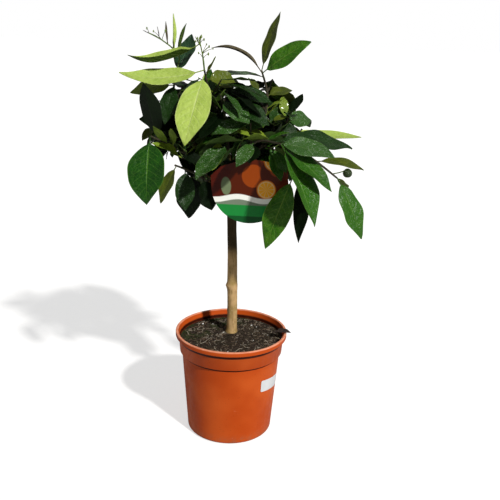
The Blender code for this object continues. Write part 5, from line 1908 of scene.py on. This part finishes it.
class Foliage:
    """The leaves and twigs of the grown crown, made as meshes."""

    def __init__(self, crown: Crown) -> None:
        """Keep the crown and make the two sides' finishes of each tone."""
        self.crown = crown
        self.sheets = {key: sheet.build() for key, sheet in SHEETS.items()}
        self.sides = {
            tone: (finish.upper(), finish.lower())
            for tone, finish in LEAF_FINISHES.items()
        }

    def build(self) -> None:
        """Build every mass's leaves, and the twigs of both kinds."""
        for growth in self.crown.growths:
            self.build_leaves(growth)
        self.build_twigs()

    def build_leaves(self, growth: Growth) -> None:
        """Bend each leaf of a mass from its sheet and join them into one piece."""
        tones = sorted({blade.tone for blade in growth.blades}, key=lambda tone: tone.value)
        materials = [side for tone in tones for side in self.sides[tone]]
        columns = ceil(sqrt(len(growth.blades)))
        bm = bmesh.new()
        draw = Random(growth.spray.seed)
        for number, blade in enumerate(growth.blades):
            first_vert, first_face = len(bm.verts), len(bm.faces)
            bm.from_mesh(self.sheets[blade.by_hand])
            bm.verts.ensure_lookup_table()
            bm.faces.ensure_lookup_table()
            self.bend(bm.verts[first_vert:], blade, draw)
            self.map_leaf(bm, bm.faces[first_face:], number, columns, 2 * tones.index(blade.tone))
        mesh = mesh_of(bm, turn_out=False)
        show("leaves_" + growth.name, mesh, materials, ("foliage_" + growth.name,), 50.0)

    @staticmethod
    def map_leaf(bm: BMesh, faces: list, number: int, columns: int, slot: int) -> None:
        """Give a leaf its number, its own cell of the bake's map and its material slots.

        Args:
            bm: The piece that the leaf is part of.
            faces: The leaf's faces.
            number: The leaf's number.
            columns: How many cells of the map there are each way.
            slot: The slot of its upper side.
        """
        bake, pattern = bm.loops.layers.uv[BAKE_MAP], bm.loops.layers.uv[BLADE_MAP]
        row, column = divmod(number, columns)
        for face in faces:
            face.material_index += slot
            for loop in face.loops:
                uv = loop[bake].uv
                loop[bake].uv = ((column + uv.x) / columns, (row + uv.y) / columns)
                loop[pattern].uv.x += number

    @staticmethod
    def bend(verts: list, blade: Blade, draw: Random) -> None:
        """Move a flat sheet's corners to where the leaf has them."""
        bend = Bend(draw, blade)
        rows: dict[float, tuple[Vector, Vector, Vector]] = {}
        for vert in verts:
            x, share, z = vert.co
            key = round(share, 4)
            if key not in rows:
                spot, above, side = blade.frame(share)
                turn = Quaternion(above.cross(side), bend.twist * (share - 0.4))
                rows[key] = spot, turn @ above, turn @ side
            spot, above, side = rows[key]
            half, height = bend.section(x, share, z)
            vert.co = spot + side * x * half + above * height

    def build_twigs(self) -> None:
        """Build the stems and twigs: the stout ones brown, the fine ones green."""
        kinds = {wood: bmesh.new() for wood in Wood}
        for growth in self.crown.growths:
            rings = tube_rings(growth.stem, growth.stem_radii, 8, growth.stem_heading)
            rings = roughened(rings, growth.stem, 0.15 * MM, (500.0, 500.0, 500.0))
            append(kinds[Wood.BROWN], sweep(rings))
            for path, radii in growth.twigs:
                fine = radii[0] < TWIG_RADII[0] - 0.05 * MM or radii[-1] < MM
                append(kinds[Wood.GREEN if fine else Wood.BROWN], self.noded(path, radii))
        finishes = {
            Wood.GREEN: Speckled("twig_green", (98, 124, 46), (70, 96, 34), 0.5, 200.0, 0.0002),
            Wood.BROWN: Speckled("twig_brown", (62, 52, 32), (44, 46, 24), 0.66, 200.0, 0.0004),
        }
        for wood, bm in kinds.items():
            material = finishes[wood].make()
            show("twigs_" + wood.value, mesh_of(bm), [material])

    @staticmethod
    def noded(path: Path, radii: list[float]) -> BMesh:
        """Make a twig, a little swollen where leaves sit."""
        swollen = [radius * (1.18 if i % 3 == 1 else 0.96) for i, radius in enumerate(radii)]
        return sweep(tube_rings(path, swollen, 6))


# Tag


@dataclass
class Tag:
    """The picture tag: a card with straight sides and a round foot, threaded on by its tab's eye."""

    eye: Vector = Vector((0.0210, -0.0490, 0.5266))
    tilt: float = radians(4.5)
    half_width: float = 0.0625
    drop: float = 0.0623
    shoulder: float = 0.0276
    shoulder_share: float = 0.72
    corner_drop: float = 0.0140
    neck_rise: float = 0.0080
    tab_half_width: float = 0.0120
    thickness: float = 0.0008
    eye_radius: float = 0.0075
    arc_steps: int = 24
    tab_steps: int = 8
    columns: int = 12
    bow: float = 0.0012

    def outline(self, fine: int = 1) -> list[Pair]:
        """Give the card's outline, its arcs in so many times the usual steps."""
        foot = arc((0.0, -self.drop), self.half_width, 0, -180, self.arc_steps * fine)
        tab = arc((0.0, 0.0), self.tab_half_width, 180, 0, self.tab_steps * fine)
        side = [
            (self.tab_half_width, self.neck_rise - self.shoulder),
            (self.half_width * self.shoulder_share, -self.shoulder),
            (self.half_width, -self.shoulder - self.corner_drop),
        ]
        return [*tab, *side, *foot, *((-across, up) for across, up in reversed(side))]

    def point(self, across: float, up: float, depth: float) -> Vector:
        """Turn a place on the card into the frame, with the card hanging a little askew."""
        x = across * cos(self.tilt) - up * sin(self.tilt)
        z = across * sin(self.tilt) + up * cos(self.tilt)
        return self.eye + Vector((x, depth, z))

    def room(self) -> Room:
        """Give the room that the card fills, grown by the stand-off."""
        half = (self.thickness + 2.0 * STAND_OFF) / 2.0
        sides = [[self.point(x, z, depth) for x, z in self.outline()] for depth in (-half, half)]
        tree, middle = room_tree(sides), self.point(0.0, -self.drop, 0.0)
        return Room("tag", tree, tree, middle, self.drop + self.half_width, True)

    def build(self) -> None:
        """Cut the card, bow it a little and print it."""
        bm = bmesh.new()
        corners = [bm.verts.new((x, -self.thickness / 2.0, z)) for x, z in self.outline(3)]
        back = extruded(bm, [bm.faces.new(corners)])
        bmesh.ops.translate(bm, verts=back, vec=(0.0, self.thickness, 0.0))
        for i in range(1, self.columns):
            x = self.half_width * (2.0 * i / self.columns - 1.0)
            bmesh.ops.bisect_plane(bm, geom=[*bm.verts, *bm.edges, *bm.faces], dist=1e-6,
                                   plane_co=(x, 0.0, 0.0), plane_no=(1.0, 0.0, 0.0))
        hole = bmesh.new()
        turn = Matrix.Rotation(pi / 2.0, 4, "X")
        bmesh.ops.create_cone(hole, cap_ends=True, segments=48, radius1=self.eye_radius,
                              radius2=self.eye_radius, depth=self.thickness * 8.0, matrix=turn)
        mesh = cut_out(mesh_of(bm), mesh_of(hole))
        self.map_and_hang(mesh)
        show("tag_card", mesh, [PrintedCard().make()], ("tag",), 30.0)

    def map_and_hang(self, mesh: Mesh) -> None:
        """Map the print in half widths from the round foot's middle, then hang the card."""
        bm = bmesh.new()
        bm.from_mesh(mesh)
        layer = bm.loops.layers.uv.new(CARD_MAP)
        for loop in (loop for face in bm.faces for loop in face.loops):
            x, _, z = loop.vert.co
            loop[layer].uv = (x / self.half_width, (z + self.drop) / self.half_width)
        for vert in bm.verts:
            x, y, z = vert.co
            vert.co = self.point(x, z, y - self.bow * (x / self.half_width) ** 2)
        bm.to_mesh(mesh)
        bm.free()


# Small things


@dataclass
class SmallThings:
    """The green fruit on its stalk, the buds of the new shoots, and a dry leaf on the rim."""

    fruit_radius: float = 0.0075
    star_radius: float = 0.0040
    star_lobes: int = 5
    sprigs: tuple[tuple[Place, tuple[Place, ...]], ...] = (
        ((-57, -49, 684), ((-61, -50, 692), (-55, -48, 694), (-64, -52, 687), (-51, -50, 690))),
        ((-53, -50, 669), ((-43, -50, 680), (-37, -50, 677), (-47, -50, 683))),
        ((-52, -50, 662), ((-44, -51, 669), (-59, -52, 670))),
        ((-118, -30, 687), ((-131, -30, 700), (-112, -33, 701))),
        ((-138, -30, 697), ((-141, -31, 704),)),
    )
    dry_leaf: tuple[Place, Place] = ((74, -3, 187), (107, -13, 192.5))

    def build(self, crown: Crown) -> None:
        """Build and dress them all."""
        self.build_fruit(crown)
        self.build_buds()
        self.build_dry_leaf()

    def star(self, spot: Vector) -> BMesh:
        """Make the lobes that hold the fruit, round its stalk.

        Args:
            spot: The top of the fruit.

        Returns:
            The star.
        """
        bm = bmesh.new()
        bmesh.ops.create_circle(bm, cap_ends=True, radius=self.star_radius,
                                segments=2 * self.star_lobes)
        for i, vert in enumerate(bm.verts):
            vert.co *= 0.45 if i % 2 else 1.0
            vert.co.z = 0.2 * MM if i % 2 else -0.7 * MM
        raised = bmesh.ops.extrude_face_region(bm, geom=list(bm.faces))["geom"]
        verts = [part for part in raised if isinstance(part, bmesh.types.BMVert)]
        bmesh.ops.translate(bm, verts=verts, vec=UP * 0.6 * MM)
        bmesh.ops.translate(bm, verts=bm.verts, vec=spot)
        return bm

    def build_fruit(self, crown: Crown) -> None:
        """Build the fruit, dimpled at both ends, on its stalk."""
        growth = next(growth for growth in crown.growths if growth.spray.fruit)
        seat, spot = growth.spray.fruit
        foot, middle = growth.stem.at(seat)[0], place(spot)
        ball = bmesh.new()
        bmesh.ops.create_icosphere(ball, subdivisions=4, radius=self.fruit_radius)
        for vert in ball.verts:
            vert.co.z *= 0.97 - 0.08 * (abs(vert.co.z) / self.fruit_radius) ** 8
        bmesh.ops.translate(ball, verts=ball.verts, vec=middle)
        bm = bmesh.new()
        append(bm, ball)
        append(bm, self.star(middle + UP * self.fruit_radius * 0.90), 1)
        bend, end = (foot + middle) / 2.0 + UP * 2.0 * MM, middle + UP * self.fruit_radius * 0.8
        append(bm, tube(Path([foot, bend, end], 3), 0.9 * MM, 0.9 * MM, 8), 1)
        materials = [
            Speckled("green_fruit", (36, 54, 20), (50, 68, 28), 0.30, 260.0, 0.0002).make(),
            Speckled("fruit_stalk", (92, 118, 44), (70, 94, 34), 0.5).make(),
        ]
        show("fruitlet", mesh_of(bm), materials)

    def build_buds(self) -> None:
        """Build the round buds of the new shoots, each at the end of its sprig."""
        draw = Random(3)
        bm = bmesh.new()
        for start, end in ((place(foot), place(tip)) for foot, tips in self.sprigs for tip in tips):
            bend = start.lerp(end, 0.5) + UP * 1.5 * MM
            append(bm, tube(Path([start, bend, end], 2), 0.55 * MM, 0.35 * MM, 5), 1)
            bud = bmesh.new()
            bmesh.ops.create_icosphere(bud, subdivisions=2, radius=draw.uniform(1.2, 1.9) * MM)
            bmesh.ops.scale(bud, vec=(0.8, 0.8, 1.4), verts=bud.verts)
            bmesh.ops.translate(bud, verts=bud.verts, vec=end)
            append(bm, bud)
        materials = [
            Speckled("bud_green", (148, 168, 96), (110, 134, 70), 0.5, 400.0).make(),
            Speckled("sprig_green", (92, 104, 56), (70, 76, 44), 0.55, 300.0).make(),
        ]
        show("shoot_buds", mesh_of(bm), materials)

    def build_dry_leaf(self) -> None:
        """Lay a curled dry leaf over the pot's rim."""
        bm = bmesh.new()
        bm.from_mesh(SHEETS[True].build())
        foot, tip = (place(point) for point in self.dry_leaf)
        blade = Blade(foot, tip, 13.0 * MM, 10.0, 24.0, 0.0, 26.0, NEAR_STATIONS)
        Foliage.bend(bm.verts, blade, Random(2))
        for face in bm.faces:
            face.material_index = 0
        finish = Speckled("dry_leaf", (40, 30, 28), (62, 46, 36), 0.7, 260.0, 0.0006)
        show("dry_leaf", mesh_of(bm), [finish.make()], sharp=60.0)


# Studio


@dataclass(frozen=True)
class Lamp:
    """A far light: its name, its angles round and over the floor, its strength and its width."""

    name: str
    azimuth: float
    height: float
    strength: float
    angle: float
    colour: Colour = (1.0, 0.98, 0.95)

    def hang(self) -> bpy.types.Object:
        """Hang the light in the scene."""
        sun = bpy.data.lights.new(self.name, "SUN")
        sun.energy = self.strength
        sun.angle = radians(self.angle)
        sun.color = self.colour
        lamp = added(self.name, sun)
        turn, rise = radians(self.azimuth), radians(self.height)
        flat = Vector((cos(turn), sin(turn), 0.0))
        lamp.rotation_mode = "QUATERNION"
        away = flat * cos(rise) + UP * sin(rise)
        lamp.rotation_quaternion = away.to_track_quat("Z", "Y")
        return lamp


@dataclass
class Studio:
    """A plain pale floor, a key light from the front right, a weak one from behind, and the camera."""

    lens: float = 49.64
    sensor: float = 36.0
    pitch: float = 17.16
    roll: float = 1.8
    key: Lamp = Lamp("key", -53.0, 40.0, 3.5, 3.0)
    rear: Lamp = Lamp("rear", 90.0, 16.0, 0.9, 40.0)
    ambient: float = 0.16
    floor_glow: float = 0.62
    floor_size: float = 60.0

    def build(self) -> None:
        """Set up the studio."""
        self.build_floor()
        self.key.hang()
        self.rear.hang().visible_glossy = False
        self.build_surroundings()
        self.build_camera()
        bpy.context.scene.view_settings.view_transform = "Standard"

    @staticmethod
    def seen(sketch: Sketch, unseen: float, seen: float) -> Socket:
        """Give one value to what the camera sees straight and another to all else."""
        ray = sketch.node("LightPath").outputs["Is Camera Ray"]
        return sketch.span(ray, 0.0, 1.0, unseen, seen)

    def build_floor(self) -> None:
        """Lay the floor just under the pot."""
        bm = bmesh.new()
        bmesh.ops.create_grid(bm, x_segments=1, y_segments=1, size=self.floor_size)
        mesh = mesh_of(bm, turn_out=False)
        material = bpy.data.materials.new("pale_floor")
        material.use_nodes = True
        sketch = Sketch(material.node_tree)
        glow = self.seen(sketch, 0.0, self.floor_glow)
        looks = {"Base Color": (0.5, 0.5, 0.5, 1.0), "Roughness": 0.9, "Specular IOR Level": 0.0,
                 "Emission Color": (1.0, 1.0, 1.0, 1.0), "Emission Strength": glow}
        for key, value in looks.items():
            sketch.feed(sketch.tree.nodes["Principled BSDF"].inputs[key], value)
        mesh.materials.append(material)
        added("floor", mesh)

    def build_surroundings(self) -> None:
        """Light the tree a little from all round, before a white background."""
        world = bpy.data.worlds.new("surroundings")
        world.use_nodes = True
        sketch = Sketch(world.node_tree)
        back = world.node_tree.nodes["Background"].inputs
        sketch.feed(back["Strength"], self.seen(sketch, self.ambient, 1.0))
        back["Color"].default_value = (1.0, 1.0, 1.0, 1.0)
        bpy.context.scene.world = world

    def build_camera(self) -> None:
        """Stand the camera where the photograph was taken from."""
        data = bpy.data.cameras.new("camera")
        data.lens = self.lens
        data.sensor_width = self.sensor
        data.clip_start, data.clip_end = 0.01, 200.0
        camera = added("camera", data)
        tilt = Matrix.Rotation(radians(90.0 - self.pitch), 4, "X")
        roll = Matrix.Rotation(radians(self.roll), 4, "Z")
        camera.matrix_world = Matrix.Translation(EYE) @ tilt @ roll
        bpy.context.scene.camera = camera


def main() -> None:
    """Build every piece of the tree, and the studio round it."""
    logging.basicConfig(level=logging.INFO, format="%(name)s %(message)s")
    pot = Pot()
    pot.build()
    Label().build(pot)
    Compost().build(pot)
    Trunk().build(SPRAYS)
    tag = Tag()
    tag.build()
    crown = Crown(SPRAYS, tag)
    crown.grow()
    Foliage(crown).build()
    SmallThings().build(crown)
    Studio().build()


if __name__ == "__main__":
    main()
